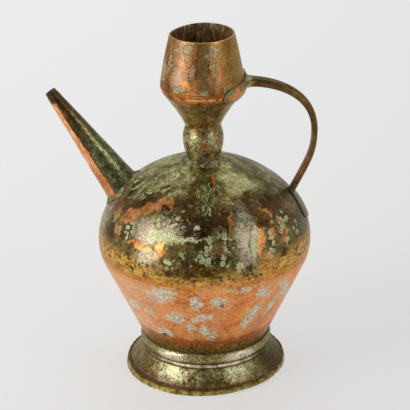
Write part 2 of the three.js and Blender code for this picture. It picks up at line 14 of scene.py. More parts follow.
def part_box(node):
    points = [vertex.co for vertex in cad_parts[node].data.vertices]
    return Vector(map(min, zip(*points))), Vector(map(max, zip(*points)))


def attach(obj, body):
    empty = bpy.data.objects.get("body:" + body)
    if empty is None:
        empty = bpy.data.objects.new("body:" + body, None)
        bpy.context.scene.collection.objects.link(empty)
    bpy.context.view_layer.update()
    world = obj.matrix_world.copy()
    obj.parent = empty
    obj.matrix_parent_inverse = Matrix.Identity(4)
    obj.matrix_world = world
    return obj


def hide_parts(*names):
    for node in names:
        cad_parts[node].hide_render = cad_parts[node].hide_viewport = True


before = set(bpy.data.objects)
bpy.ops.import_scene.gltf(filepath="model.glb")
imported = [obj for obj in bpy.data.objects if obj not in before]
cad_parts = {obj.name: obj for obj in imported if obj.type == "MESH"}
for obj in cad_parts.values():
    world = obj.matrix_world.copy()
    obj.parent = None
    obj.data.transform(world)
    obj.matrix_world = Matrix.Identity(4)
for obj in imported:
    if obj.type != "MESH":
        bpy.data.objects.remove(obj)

MM = 0.001
DEGREE = math.pi / 180
FULL_TURN = 2 * math.pi
UP = Vector((0, 0, 1))
Point = tuple[float, float]
Colour = tuple[float, float, float, float]
Tones = dict[int, str]
Bend = Callable[[Vector], Vector]
Socket = bpy.types.NodeSocket
Thing = bpy.types.Object
log = logging.getLogger("ewer")


# ---------------------------------------------------------------- lines and meshes


def shares(steps: int, first: int = 0) -> list[float]:
    """Give even shares up to 1, from 0 or from a later step on."""
    return [step / steps for step in range(first, steps + 1)]


def turns(count: int) -> list[float]:
    """Give even angles once round."""
    return [FULL_TURN * side / count for side in range(count)]


def around(radius: float, angle: float, height: float = 0.0) -> Vector:
    """Give the spot at a radius, an angle and a height."""
    return Vector((radius * math.cos(angle), radius * math.sin(angle), height))


def flat(spot: Vector) -> Vector:
    """Give a spot's part along the ground."""
    return Vector((spot.x, spot.y, 0))


def ripple(spot: Vector, *waves: Point) -> float:
    """Add up noise at a spot, given as pairs of depth and size."""
    return sum(depth * noise.noise(spot / size) for depth, size in waves)


def drawn_curve(start: Point, pull: Point, end: Point, steps: int) -> list[Point]:
    """Walk along a curve that is drawn towards one pull point.

    Args:
        start: First point, as radius and height.
        pull: Point that the curve is drawn towards.
        end: Last point.
        steps: Number of straight runs.

    Returns:
        The points, both ends included.
    """
    points = []
    for t in shares(steps):
        near, mid, far = (1 - t) ** 2, 2 * t * (1 - t), t * t
        points.append(tuple(near * a + mid * b + far * c for a, b, c in zip(start, pull, end)))
    return points


def straight(start: Point, end: Point, steps: int) -> list[Point]:
    """Walk straight from one point to another."""
    return drawn_curve(start, ((start[0] + end[0]) / 2, (start[1] + end[1]) / 2), end, steps)


def set_in(line: Sequence[Point], distance: float) -> list[Point]:
    """Move a line that runs upwards inwards along its normals.

    Args:
        line: Points of the outer face.
        distance: Sheet thickness.

    Returns:
        Points of the inner face in the same order.
    """
    moved = []
    for index, here in enumerate(line):
        before, after = line[max(index - 1, 0)], line[min(index + 1, len(line) - 1)]
        run, rise = after[0] - before[0], after[1] - before[1]
        length = math.hypot(run, rise) or 1.0
        moved.append((here[0] - distance * rise / length, here[1] + distance * run / length))
    return moved


def hollow(outer: Sequence[Point], sheet: float) -> list[Point]:
    """Make a section of a sheet from its outer line."""
    return [*outer, *set_in(outer, sheet)[::-1]]


def stand(name: str, data: bpy.types.ID) -> Thing:
    """Put new data into the scene.

    Args:
        name: Name of the object.
        data: Its mesh, lamp or camera.

    Returns:
        The object.
    """
    thing = bpy.data.objects.new(name, data)
    bpy.context.scene.collection.objects.link(thing)
    return thing


def shade_smooth(mesh: bpy.types.Mesh) -> None:
    """Shade every face of a mesh smoothly."""
    mesh.polygons.foreach_set("use_smooth", [True] * len(mesh.polygons))


@dataclass(frozen=True)
class Hammering:
    """Shallow dents of a planishing hammer and the slow wander of a raised sheet."""

    wander: float
    wander_size: float
    dent: float
    dent_size: float
    seed: float

    def depth(self, spot: Vector) -> float:
        """Measure how far the sheet lies inside its true form.

        Args:
            spot: Spot of the true form.

        Returns:
            The depth in millimetres.
        """
        slow = noise.noise(spot / self.wander_size + Vector((self.seed, 3.1, 7.7)))
        fast = noise.noise(spot / self.dent_size + Vector((self.seed, 9.2, 1.3)))
        return self.wander * (0.5 + 0.5 * slow) + self.dent * (0.5 + 0.5 * fast)

    def inwards(self, spot: Vector) -> Vector:
        """Move a spot towards the pot's axis by the hammering's depth."""
        return spot - flat(spot).normalized() * self.depth(spot)


@dataclass(frozen=True)
class Bench:
    """Place of the pot's axis, and the tools that turn rings of points into pieces."""

    axis_x: float
    axis_y: float
    lining_lean: float = 0.3

    def axis(self) -> Vector:
        """Give the foot of the pot's axis."""
        return Vector((self.axis_x, self.axis_y, 0))

    def place(self, spot: Vector) -> Vector:
        """Carry a spot from millimetres about the pot's axis to metres in the frame."""
        return Vector((spot.x + self.axis_x, spot.y + self.axis_y, spot.z)) * MM

    def skin(self, name: str, rings: Sequence[Sequence[Vector]], closed: bool = True, sharp: float = 38.0) -> Thing:
        """Lay a skin over rings of equally many points.

        Args:
            name: Name of the new piece.
            rings: Rings of points in millimetres about the pot's axis.
            closed: True where the last ring joins the first one, False where both ends are filled.
            sharp: Angle in degrees above which an edge stays crisp.

        Returns:
            The new object.
        """
        mesh = bpy.data.meshes.new(name)
        count = len(rings[0])
        spots = [self.place(spot) for ring in rings for spot in ring]
        faces = []
        for row in range(len(rings) if closed else len(rings) - 1):
            low, high = row * count, ((row + 1) % len(rings)) * count
            for side in range(count):
                following = (side + 1) % count
                faces.append((low + side, low + following, high + following, high + side))
        if not closed:
            faces += [tuple(range(count)), tuple(range(len(spots) - count, len(spots)))]
        mesh.from_pydata(spots, [], faces)
        shaped = bmesh.new()
        shaped.from_mesh(mesh)
        bmesh.ops.recalc_face_normals(shaped, faces=shaped.faces)
        shaped.to_mesh(mesh)
        shaped.free()
        shade_smooth(mesh)
        mesh.set_sharp_from_angle(angle=sharp * DEGREE)
        return stand(name, mesh)

    def turned(self, name: str, section: Sequence[Point], segments: int, bend: Bend) -> Thing:
        """Turn a closed section about the pot's axis.

        Args:
            name: Name of the new piece.
            section: Points of the section, as radius and height.
            segments: Number of steps in the full turn.
            bend: Takes a spot of the true form and gives the spot of the made one.

        Returns:
            The new object.
        """
        rings = [[bend(around(radius, angle, height)) for angle in turns(segments)] for radius, height in section]
        return self.skin(name, rings)

    def dress(self, piece: Thing, finish: "Finish", slot: str, nodes: Sequence[str] = (),
              lining: bpy.types.Material | None = None) -> None:
        """Give a piece its finish and tie it to the frame.

        Args:
            piece: The new object.
            finish: Its finish.
            slot: Material slot of the record; not used.
            nodes: CAD nodes that the piece stands for.
            lining: Material of the faces that look towards the pot's axis.
        """
        piece.data.materials.append(finish.make())
        if lining:
            piece.data.materials.append(lining)
            for face in piece.data.polygons:
                out = face.center - self.axis() * MM
                if out.x * face.normal.x + out.y * face.normal.y < -self.lining_lean * out.xy.length:
                    face.material_index = Side.LINING.value
        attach(piece, "root")
        if nodes:
            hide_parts(*nodes)
        log.info("%s: %d faces, finish %s", piece.name, len(piece.data.polygons), finish.name)


class Side(Enum):
    """Which faces of a sheet a finish goes on."""

    OUTER = 0
    LINING = 1


# ---------------------------------------------------------------- shared outlines


@dataclass(frozen=True)
class BodyLine:
    """Outer line of the body, in millimetres."""

    belly_radius: float = 101.55
    belly_height: float = 134.0
    rise: float = 80.5
    fullness: float = 1.7
    knuckle: float = 50.0
    taper: float = 25.4 * DEGREE

    def radius(self, height: float) -> float:
        """Measure the body's outer face.

        Args:
            height: Height above the ground.

        Returns:
            Its radius there.
        """
        above = height - self.belly_height
        if above >= 0:
            return self.belly_radius * max(0.0, 1 - (above / self.rise) ** 2) ** (1 / self.fullness)
        drop = min(-above, self.knuckle * math.sin(self.taper))
        inset = self.knuckle - math.sqrt(self.knuckle**2 - drop**2)
        return self.belly_radius - inset - (-above - drop) * math.tan(self.taper)

    def dome_height(self, radius: float) -> float:
        """Give the dome's height at a radius."""
        return self.belly_height + self.rise * math.sqrt(1 - (radius / self.belly_radius) ** self.fullness)

    def dome(self, inner_radius: float, steps: int) -> list[Point]:
        """Walk up the dome in even turns of its curve.

        Args:
            inner_radius: Radius where the walk ends.
            steps: Number of runs.

        Returns:
            The points, from the belly on.
        """
        end = math.acos((inner_radius / self.belly_radius) ** (self.fullness / 2))
        points = []
        for step in range(steps + 1):
            turn = end * step / steps
            radius = self.belly_radius * math.cos(turn) ** (2 / self.fullness)
            points.append((radius, self.belly_height + self.rise * math.sin(turn)))
        return points

    def wall(self, low: float, high: float, steps: int, inset: float = 0.0) -> list[Point]:
        """Walk up the body's side between two heights, set in by a distance."""
        heights = [low + (high - low) * step / steps for step in range(steps + 1)]
        return [(self.radius(height) - inset, height) for height in heights]

    def outward(self, spot: Vector, reach: float = 0.5) -> Vector:
        """Give the body's outward direction at a spot on it, from the radius a little below and above."""
        low, high = self.radius(spot.z - reach), self.radius(spot.z + reach)
        return (flat(spot).normalized() + Vector((0, 0, low - high))).normalized()


@dataclass(frozen=True)
class CupLine:
    """Outer line of the cup and its neck, in millimetres."""

    waist_radius: float = 16.8
    waist_height: float = 247.7
    pull_out: float = 4.6
    pull_up: float = 12.0
    edge_radius: float = 39.6
    edge_height: float = 286.7
    edge_gap: float = 0.05
    band: float = 5.0
    band_in: float = 1.6
    swell: float = 0.2
    upright: float = 9.0
    mouth_radius: float = 30.5
    mouth_height: float = 337.75
    sheet: float = 1.5

    def funnel(self, steps: int = 28) -> list[Point]:
        """Walk up the funnel from the waist to the foot of the band."""
        return drawn_curve(
            (self.waist_radius, self.waist_height),
            (self.waist_radius + self.pull_out, self.waist_height + self.pull_up),
            (self.edge_radius - self.band_in, self.edge_height - self.band),
            steps,
        )

    def collar(self, steps: int = 36) -> list[Point]:
        """Walk up the collar from the sharp edge to the mouth."""
        return drawn_curve(
            (self.edge_radius, self.edge_height + self.edge_gap),
            (self.edge_radius + self.swell, self.edge_height + self.upright),
            (self.mouth_radius, self.mouth_height - self.sheet / 3),
            steps,
        )

    def radius(self, height: float) -> float:
        """Measure the cup's outer face.

        Args:
            height: Height above the ground.

        Returns:
            Its radius there.
        """
        line = [*self.funnel(), (self.edge_radius, self.edge_height), *self.collar()]
        for low, high in zip(line, line[1:]):
            if low[1] <= height <= high[1] and high[1] > low[1]:
                share = (height - low[1]) / (high[1] - low[1])
                return low[0] + (high[0] - low[0]) * share
        return line[0][0] if height < line[0][1] else line[-1][0]


# ---------------------------------------------------------------- shader tools


def paint(code: str) -> Colour:
    """Turn a hex colour as the eye sees it into the renderer's linear one.

    Args:
        code: Six hex digits.

    Returns:
        Linear red, green, blue and full alpha.
    """
    parts = [int(code[at:at + 2], 16) / 255 for at in (0, 2, 4)]
    linear = [part / 12.92 if part <= 0.04045 else ((part + 0.055) / 1.055) ** 2.4 for part in parts]
    return (*linear, 1.0)


class Sum:
    """A number that varies over the surface, held as a socket that takes part in Python arithmetic."""

    def __init__(self, recipe: "Recipe", socket: Socket) -> None:
        """Hold a socket of a recipe."""
        self.recipe, self.socket = recipe, socket

    def _with(self, operation: str, *parts: Any) -> "Sum":
        """Add one Math node on its parts."""
        made = self.recipe.node("ShaderNodeMath", {"operation": operation}, dict(enumerate(parts)))
        return Sum(self.recipe, made.outputs[0])

    def __add__(self, other: Any) -> "Sum":
        """Add a number or sum."""
        return self._with("ADD", self, other)

    __radd__ = __add__

    def __mul__(self, other: Any) -> "Sum":
        """Multiply by a number or sum."""
        return self._with("MULTIPLY", self, other)

    __rmul__ = __mul__

    def __sub__(self, other: Any) -> "Sum":
        """Take a number or sum away."""
        return self._with("SUBTRACT", self, other)

    def __rsub__(self, other: Any) -> "Sum":
        """Take this sum away from a number."""
        return self._with("SUBTRACT", other, self)

    def __truediv__(self, other: Any) -> "Sum":
        """Divide by a number or sum."""
        return self._with("DIVIDE", self, other)

    def lowest(self, other: Any) -> "Sum":
        """Give the smaller of two."""
        return self._with("MINIMUM", self, other)

    def highest(self, other: Any) -> "Sum":
        """Give the larger of two."""
        return self._with("MAXIMUM", self, other)

    def size(self) -> "Sum":
        """Give the sum without its sign."""
        return self._with("ABSOLUTE", self)

    def off(self, value: float) -> "Sum":
        """Give the distance from a value."""
        return (self - value).size()

    def rise(self, low: float, high: float) -> "Sum":
        """Climb softly from 0 at one value to 1 at another, which may be the lower one."""
        soft, ends = {"interpolation_type": "SMOOTHSTEP"}, {0: self, 1: low, 2: high}
        return Sum(self.recipe, self.recipe.node("ShaderNodeMapRange", soft, ends).outputs[0])


class Edge(Enum):
    """How noise frays the edge of marks: how far in millimetres, and the size of that noise."""

    BROAD = (9.0, 7.0)
    WIDE = (8.0, 7.0)
    MIDDLE = (5.0, 3.5)
    SOFT = (4.0, 5.0)
    SMALL = (4.0, 3.0)


class Recipe:
    """Nodes of one material or world."""

    def __init__(self, owner: bpy.types.Material | bpy.types.World) -> None:
        """Start with no nodes.

        Args:
            owner: Material or world that the nodes belong to.
        """
        owner.use_nodes = True
        self.owner = owner
        self.tree = owner.node_tree
        self.tree.nodes.clear()
        self.frayed: dict[Edge, Socket] = {}

    def node(self, kind: str, settings: dict[str, Any] | None = None,
             inputs: dict[int | str, Any] | None = None) -> bpy.types.Node:
        """Add a node.

        Args:
            kind: Type of the node.
            settings: Properties that are set first; "stops" holds a ramp's places and colours.
            inputs: Values, sums or sockets for its inputs, by name or number.

        Returns:
            The new node.
        """
        made = self.tree.nodes.new(kind)
        for key, value in (settings or {}).items():
            if key == "stops":
                band = made.color_ramp.elements
                while len(band) < len(value):
                    band.new(0.5)
                for element, (place, colour) in zip(band, value):
                    element.position, element.color = place, colour
            else:
                setattr(made, key, value)
        for key, value in (inputs or {}).items():
            if isinstance(value, (Sum, Socket)):
                self.tree.links.new(value.socket if isinstance(value, Sum) else value, made.inputs[key])
            else:
                made.inputs[key].default_value = value
        return made

    def vector(self, operation: str, first: Any, second: Any) -> Socket:
        """Combine two vectors."""
        return self.node("ShaderNodeVectorMath", {"operation": operation}, {0: first, 1: second}).outputs[0]

    def along(self, spot: Socket, way: Sequence[float]) -> Sum:
        """Measure a vector along a direction."""
        made = self.node("ShaderNodeVectorMath", {"operation": "DOT_PRODUCT"}, {0: spot, 1: tuple(way)})
        return Sum(self, made.outputs["Value"])

    def noise(self, place: Socket, scale: float, detail: float, **more: float) -> bpy.types.Node:
        """Lay noise over places."""
        return self.node("ShaderNodeTexNoise", {}, {"Vector": place, "Scale": scale, "Detail": detail, **more})

    def mix(self, share: Any, under: Any, over: Any) -> Socket:
        """Lay a share of one colour over another."""
        return self.node("ShaderNodeMix", {"data_type": "RGBA"}, {0: share, 6: under, 7: over}).outputs[2]

    def ramp(self, value: Any, tones: Tones) -> Socket:
        """Turn a sum into a colour, by hex codes at places in percent."""
        painted = [(place / 100, paint(code)) for place, code in tones.items()]
        return self.node("ShaderNodeValToRGB", {"stops": painted}, {0: value}).outputs[0]


@dataclass
class Coat:
    """Colour of a finish, built up layer by layer."""

    recipe: Recipe
    colour: Socket

    def lay(self, share: Any, over: Any) -> None:
        """Lay a colour over what is there; a hex code is painted first."""
        self.colour = self.recipe.mix(share, self.colour, paint(over) if isinstance(over, str) else over)

    def tint(self, share: Any, value: Sum, tones: Tones) -> None:
        """Lay tones over what is there, spread by a sum."""
        self.lay(share, self.recipe.ramp(value, tones))


@dataclass(frozen=True)
class Patch:
    """Oval mark on the surface: millimetres round the pot from the front, height, half sizes, and turn."""

    around: float
    height: float
    wide: float
    tall: float
    turn: float = 0.0

    def grown(self, times: float) -> "Patch":
        """Give the patch made larger."""
        return Patch(self.around, self.height, self.wide * times, self.tall * times, self.turn)

    def lines(self) -> tuple[Sequence[float], Sequence[float]]:
        """Turn the oval into two directions, along each of which its edge lies at 1.

        Returns:
            The long and the short direction, for millimetres round the pot, height and 1.
        """
        turn = Vector((math.cos(self.turn * DEGREE), math.sin(self.turn * DEGREE)))
        over, centre = Vector((-turn.y, turn.x)), Vector((self.around, self.height))
        return tuple((way.x / half, way.y / half, -way.dot(centre) / half)
                     for way, half in ((turn, self.wide), (over, self.tall)))


def ovals(*rows: Sequence[float]) -> tuple[Patch, ...]:
    """Make patches from rows of their numbers."""
    return tuple(Patch(*row) for row in rows)


Patches = tuple[Patch, ...]


@dataclass(frozen=True)
class Ground:
    """Places on the surface that every finish draws with."""

    recipe: Recipe
    spot: Socket
    across: Sum
    height: Sum
    reach: Sum

    def coat(self, value: Sum, tones: Tones) -> Coat:
        """Start a coat with tones, spread by a sum."""
        return Coat(self.recipe, self.recipe.ramp(value, tones))

    def grain(self, size: float, detail: float = 2.0, seed: float = 0.0, stretch: tuple = (1, 1, 1),
              rough: float = 0.5) -> Sum:
        """Give smooth noise around 0.5.

        Args:
            size: Size of its blots in millimetres.
            detail: Number of finer layers.
            seed: Moves the pattern.
            stretch: Pulls the pattern along X, Y and Z.
            rough: Strength of the finer layers.

        Returns:
            The noise.
        """
        scale = tuple(1 / (size * pull) for pull in stretch)
        moved = self.recipe.node("ShaderNodeMapping", {}, {0: self.spot, 1: (seed, seed * 0.7, seed * 1.3), 3: scale})
        return Sum(self.recipe, self.recipe.noise(moved.outputs[0], 1.0, detail, Roughness=rough).outputs[0])

    def cells(self, size: float, seed: float = 0.0) -> Sum:
        """Scatter rounded grains.

        Args:
            size: Their size in millimetres.
            seed: Moves the pattern.

        Returns:
            Distance from the middle of the nearest one, as a share of the size.
        """
        warp = self.recipe.noise(self.spot, 0.5 / size, 1.0)
        pushed = self.recipe.vector("MULTIPLY", warp.outputs[1], (size,) * 3)
        moved = self.recipe.vector("ADD", self.spot, pushed)
        shifted = self.recipe.vector("ADD", moved, (seed,) * 3)
        made = self.recipe.node("ShaderNodeTexVoronoi", {}, {"Vector": shifted, "Scale": 1 / size})
        return Sum(self.recipe, made.outputs[0])

    def frayed(self, edge: Edge) -> Socket:
        """Push the places on the surface about by noise; each kind is built once.

        Args:
            edge: How far the noise pushes, and its size.

        Returns:
            Millimetres round the pot, height and 1, as a vector.
        """
        recipe, (far, size) = self.recipe, edge.value
        if edge not in recipe.frayed:
            place = recipe.node("ShaderNodeCombineXYZ", {}, {0: self.across, 1: self.height, 2: 1.0}).outputs[0]
            push = recipe.vector("SUBTRACT", recipe.noise(self.spot, 1 / size, 4.0).outputs[1], (0.5,) * 3)
            push = recipe.vector("MULTIPLY", push, (2 * far, 2 * far, 0))
            recipe.frayed[edge] = recipe.vector("ADD", place, push)
        return recipe.frayed[edge]

    def marks(self, patches: Sequence[Patch], soft: float, edge: Edge = Edge.SMALL) -> Sum:
        """Mask that is 1 inside any of the patches.

        Args:
            patches: Ovals on the surface.
            soft: Width of their edge as a share of their size.
            edge: How noise frays that edge.

        Returns:
            The mask.
        """
        place, nearest = self.frayed(edge), None
        for patch in patches:
            long, short = (self.recipe.along(place, line) for line in patch.lines())
            distance = long * long + short * short
            nearest = distance if nearest is None else nearest.lowest(distance)
        return nearest.rise((1 + soft) ** 2, (1 - soft) ** 2)


@dataclass(frozen=True)
class Finish:
    """A finish of the pot; its layers are drawn over one ground."""

    name: str
    axis_x: float
    round_radius: float = 101.55
    front: float = -94.0
    sheen: Colour = (1.0, 0.91, 0.78, 1.0)

    def ground(self, recipe: Recipe) -> Ground:
        """Measure the surface: spot, millimetres round the pot from the front, height and reach.

        Args:
            recipe: Recipe that the nodes go to.

        Returns:
            The ground.
        """
        coords = recipe.node("ShaderNodeTexCoord").outputs["Object"]
        moved = recipe.vector("SUBTRACT", coords, (self.axis_x * MM, 0, 0))
        spot = recipe.vector("MULTIPLY", moved, (1 / MM,) * 3)
        turn = {"Vector": spot, "Angle": -self.front * DEGREE}
        turned = recipe.node("ShaderNodeVectorRotate", {"rotation_type": "Z_AXIS"}, turn)
        parts = recipe.node("ShaderNodeSeparateXYZ", {}, {0: turned.outputs[0]})
        x, y, height = (Sum(recipe, parts.outputs[at]) for at in range(3))
        angle = Sum(recipe, recipe.node("ShaderNodeMath", {"operation": "ARCTAN2"}, {0: y, 1: x}).outputs[0])
        level = recipe.vector("MULTIPLY", spot, (1, 1, 0))
        reach = recipe.node("ShaderNodeVectorMath", {"operation": "LENGTH"}, {0: level}).outputs["Value"]
        return Ground(recipe, spot, angle * self.round_radius, height, Sum(recipe, reach))

    def close(self, coat: Coat, metal: Any, rough: Any, *bumps: tuple[Sum, float]) -> None:
        """Join the layers to the surface shader.

        Args:
            coat: Base colour.
            metal: How metallic it is.
            rough: Roughness.
            bumps: Height layers and their depth in millimetres.
        """
        recipe, relief = coat.recipe, None
        for layer, depth in bumps:
            relief = layer * depth if relief is None else relief + layer * depth
        bump = recipe.node("ShaderNodeBump", {}, {"Height": relief, "Distance": MM, "Strength": 1.0})
        shader = recipe.node("ShaderNodeBsdfPrincipled", {}, {
            "Base Color": coat.colour, "Metallic": metal, "Roughness": rough, "Normal": bump.outputs[0],
            "Specular Tint": self.sheen})
        recipe.node("ShaderNodeOutputMaterial", {}, {0: shader.outputs[0]})

    def make(self) -> bpy.types.Material:
        """Build the finish's material.

        Returns:
            The new material.
        """
        recipe = Recipe(bpy.data.materials.new(self.name))
        self.draw(self.ground(recipe))
        return recipe.owner

    def draw(self, ground: Ground) -> None:
        """Draw the finish's layers on the ground; each kind has its own."""
        raise NotImplementedError


@dataclass(frozen=True)
class ShoulderPatina(Finish):
    """Dark olive patina with green strokes, pale grains, worn tin, bare copper and the golden seam."""

    copper: Patches = ovals(
        (-96, 177, 13.7, 5.6, 22), (-77, 187, 17, 3.6, 15), (-58, 193, 9, 2.2, 6), (-46, 191, 4.5, 2.2, -16),
        (-109, 165, 10.4, 2, -29), (-78, 158, 6.3, 1.9, -14), (-66, 157, 13, 1.9, -2), (-50, 151, 5, 2.0, 13),
        (-45, 160, 7, 1.8, -75), (32, 181, 2.2, 7.5, -28), (60, 163, 10, 4.6, 63), (77, 167, 6, 2.6, 42),
        (84, 182, 7, 2.4, -20), (95, 171, 3, 5, 10), (60, 150, 6, 3, -14), (24, 206, 5, 2.6, 7),
        (13, 160, 9, 0.9, -3), (90, 160, 8, 4, 40), (-122, 171, 5, 3, 30),
    )
    brown: Patches = ovals(
        (-96, 188, 42, 5.9, 20), (-126, 161, 17, 7, -21), (-39, 189, 25, 9, -4), (76, 189, 47, 7.6, -7),
        (8, 183, 26, 8, -1), (-20, 176, 26, 4.6, 2), (70, 178, 20, 7, 0), (-16, 199, 12, 5, 10),
        (20, 201, 12, 6, -20), (-30, 190, 16, 7, 20), (4, 192, 24, 4.6, -1),
    )
    grains: Patches = ovals(
        (-89, 166, 6.5, 7.5, 27), (25, 165, 6.5, 6.3, 0), (-1, 165, 9, 7, 0), (8, 151, 17, 7, -3),
        (88, 177, 6, 3, 0), (104, 172, 8, 4, 10), (-31, 181, 11, 5.5, -2), (72, 160, 5, 10, -20),
        (92, 160, 7, 9, 0), (-36, 146, 6, 6, 0), (116, 160, 8, 8, 0),
    )
    # Worn tin; the last patch, at -38 round and 177 high, also lightens the dome between the lamp highlights as a
    # painted reflection.
    tin: Patches = ovals((-66, 171, 18, 10, 5), (-58, 147, 13, 8, 10), (40, 164, 6, 12, 10), (-38, 177, 17, 5.4, 3))
    middle: Patches = ovals((-12, 142, 26, 6.5, 2))
    vein: tuple[float, float, float] = (19.0, 1.5, 9.0)
    sway: float = 13.0
    sway_size: float = 1 / 0.075
    face: tuple[tuple[float, ...], ...] = ((0.998, -0.07, 0.0), (0.028, 0.401, 0.916), (0.064, 0.914, -0.402))
    pale: Patches = ovals(
        (-46, 169, 15.6, 3.9, 3), (-18, 169, 14, 1.9, 2), (57, 170, 4, 5, -20), (66, 149, 3.5, 3, -16),
        (33, 144, 4, 3.8, 0), (-9, 178, 3.4, 1.8, -1), (-62, 145, 6, 3.5, 0), (50, 158, 2.5, 9, -10),
    )
    speckle: Patches = ovals((46, 165, 12, 24, -14))
    strokes: Patches = ovals(
        (-100, 196, 38, 5.8, 17), (-87, 197, 29, 1.3, 5), (7, 198, 1.6, 11, 20), (27, 198, 1.3, 14, -28),
        (62, 200, 24, 1.5, 4), (106, 196, 28, 1.8, -12), (133, 186, 9, 3.5, -28), (40, 195, 16, 3, -4),
        (-128, 199, 40, 8, 10),
    )
    star: Patches = ovals((4, 201, 24, 5), (4, 193, 12, 4.5), (5, 187, 4, 4))
    blobs: Patches = ovals(
        (-19, 148, 4.2, 3.4), (-14, 140, 4.2, 3.6), (-34, 139, 4.0, 3.2), (3, 140, 4.2, 3.2), (10, 155, 4, 3.4),
        (44, 142, 4.4, 3), (84, 146, 5, 3.4), (-80, 147, 4, 3),
    )

    def veins(self, recipe: Recipe, wavy: Socket, lean: float, seed: float) -> Sum:
        """Draw thin strokes that lean one way as they are seen from the front.

        Args:
            recipe: Recipe that the nodes go to.
            wavy: Place on the surface, pushed about a little.
            lean: Angle of the strokes in degrees.
            seed: Moves the pattern.

        Returns:
            Mask of the strokes.
        """
        right, up, away = (Vector(way) for way in self.face)
        turn = lean * DEGREE
        long, short = right * math.cos(turn) + up * math.sin(turn), up * math.cos(turn) - right * math.sin(turn)
        parts = [recipe.along(wavy, way / size) for way, size in zip((long, short, away), self.vein)]
        laid = recipe.node("ShaderNodeCombineXYZ", {}, {0: parts[0], 1: parts[1], 2: parts[2] + seed})
        return Sum(recipe, recipe.noise(laid.outputs[0], 1.0, 3.0).outputs[0]).rise(0.55, 0.6)

    def draw(self, ground: Ground) -> None:
        """Draw the patina.

        Args:
            ground: Places on the surface.
        """
        recipe, across, height = ground.recipe, ground.across, ground.height
        blots, fine = ground.grain(13.0, 6.0, 3.0, rough=0.64), ground.grain(2.2, 4.0, 9.0, rough=0.6)
        specks = ground.grain(1.1, 2.0, 5.0)
        mottle = blots * 0.55 + fine * 0.45
        high = (height + blots * 20 - 10 - across.off(4).rise(40, 20) * 7).rise(185, 195)
        coat = ground.coat(mottle, {36: "271c0b", 44: "3f3115", 50: "57491f", 56: "6c5f33", 66: "8a8256"})
        coat.tint(high * 0.9, mottle, {37: "353710", 44: "585224", 50: "777342", 56: "909265", 65: "b0b48e"})
        mote = ground.grain(3.4, 3.0, 41.0)
        coat.tint(mote.rise(0.6, 0.66) * 0.6, specks, {35: "8a4c1e", 65: "b87a3a"})
        coat.tint(mote.rise(0.45, 0.38) * high * 0.7, fine, {36: "565f36", 50: "7d875a", 64: "a2a880"})
        brown = ground.marks(self.brown, 0.35, Edge.WIDE)
        coat.tint(brown * 0.82, mottle, {36: "2f1c0c", 47: "472f18", 58: "624529"})
        shake = recipe.noise(ground.spot, 1 / self.sway_size, 1.0).outputs[1]
        wavy = recipe.vector("ADD", ground.spot, recipe.vector("MULTIPLY", shake, (self.sway,) * 3))
        left = (across + blots * 40 - 20).rise(8, -8)
        veins = (self.veins(recipe, wavy, 34, 1.0) * left).highest(self.veins(recipe, wavy, -27, 7.0) * (1 - left))
        star = ground.marks(self.star, 0.3, Edge.WIDE)
        crossed = self.veins(recipe, wavy, 62, 4.0).highest(self.veins(recipe, wavy, -60, 12.0))
        veins = (veins * (1 - star)).highest(crossed * star * 0.8)
        coat.lay(star.highest(high * across.off(4).rise(46, 14)) * 0.55, "453f1c")
        strokes = ground.marks(self.strokes, 0.3, Edge.WIDE)
        open_field = blots.rise(0.5, 0.56) * high * (1 - brown * 0.8)
        drawn = veins * strokes.highest(star).highest(open_field * 0.8)
        coat.lay(blots.rise(0.5, 0.4) * strokes.highest(high) * 0.55, "34380f")
        coat.tint(drawn, fine, {34: "767840", 50: "a5a76f", 64: "c2c294"})
        # Worn tin, in one patch also a painted reflection between the lamp highlights.
        tin = ground.marks([*self.tin, *self.speckle], 0.35, Edge.WIDE)
        coat.tint(tin * 0.85, specks * 0.6 + fine * 0.4, {37: "4c4530", 45: "7e705c", 56: "a4967f", 68: "cdc4a8"})
        back = across.size().rise(120, 150)
        loose = ground.grain(17.0, 2.0, 33.0).rise(0.54, 0.62) * (1 - high) * (1 - brown * 0.6)
        grown = ground.marks(self.grains, 0.3, Edge.WIDE).highest(loose * (back * 0.3 + 0.7))
        cell = ground.cells(5.0, 2.0) + fine * 0.3 - 0.15
        disc, ring = cell.rise(0.56, 0.47), cell.rise(0.8, 0.66)
        coat.lay(grown * ring * 0.85, "2a240d")
        coat.tint(grown * disc * 0.92, cell + blots * 0.3 - 0.15, {4: "696b42", 18: "969a6b", 36: "babb8d",
                  50: "8c8f62"})
        pale = ground.marks(self.pale, 0.35, Edge.MIDDLE) * specks.rise(0.36, 0.44)
        coat.tint(pale * 0.9, fine, {34: "989f70", 50: "b9bd90", 64: "d3d2ac"})
        bare = ground.marks(self.copper, 0.22, Edge.WIDE) * specks.rise(0.28, 0.36)
        scraped = ground.grain(21.0, 5.0, 50.0).rise(0.6, 0.64) * (1 - high) * (back * 0.8 + 0.2)
        bare = bare.highest(scraped * 0.9) * (1 - (specks * 0.5 + mote * 0.5).rise(0.53, 0.58) * 0.55)
        copper = recipe.ramp(mottle, {38: "8a4f25", 47: "b8743d", 56: "cd8b53"})
        coat.lay(bare * (1 - tin * 0.45) * 0.88, copper)
        streak = ground.grain(9.0, 4.0, 60.0, (1, 1, 0.3))
        centre = across.off(2).rise(64, 34)
        band = (height + blots * 20 - 10 + streak * 14 - 7 + centre * 4).rise(153, 141)
        golden = recipe.ramp(streak * 0.5 + fine * 0.5, {37: "4f370f", 44: "87621e", 51: "b48834", 62: "dbb163"})
        # Painted sheen: the dome is lightened towards its left edge.
        left_edge_sheen = across.rise(-124, -142) * across.rise(-220, -180) * height.rise(180, 160)
        coat.lay(left_edge_sheen * fine.rise(0.36, 0.56) * 0.7, "bfae94")
        # Painted shade: the dome is darkened towards its right edge.
        coat.lay(across.rise(100, 130) * blots.rise(0.7, 0.42) * 0.85, "3c3415")
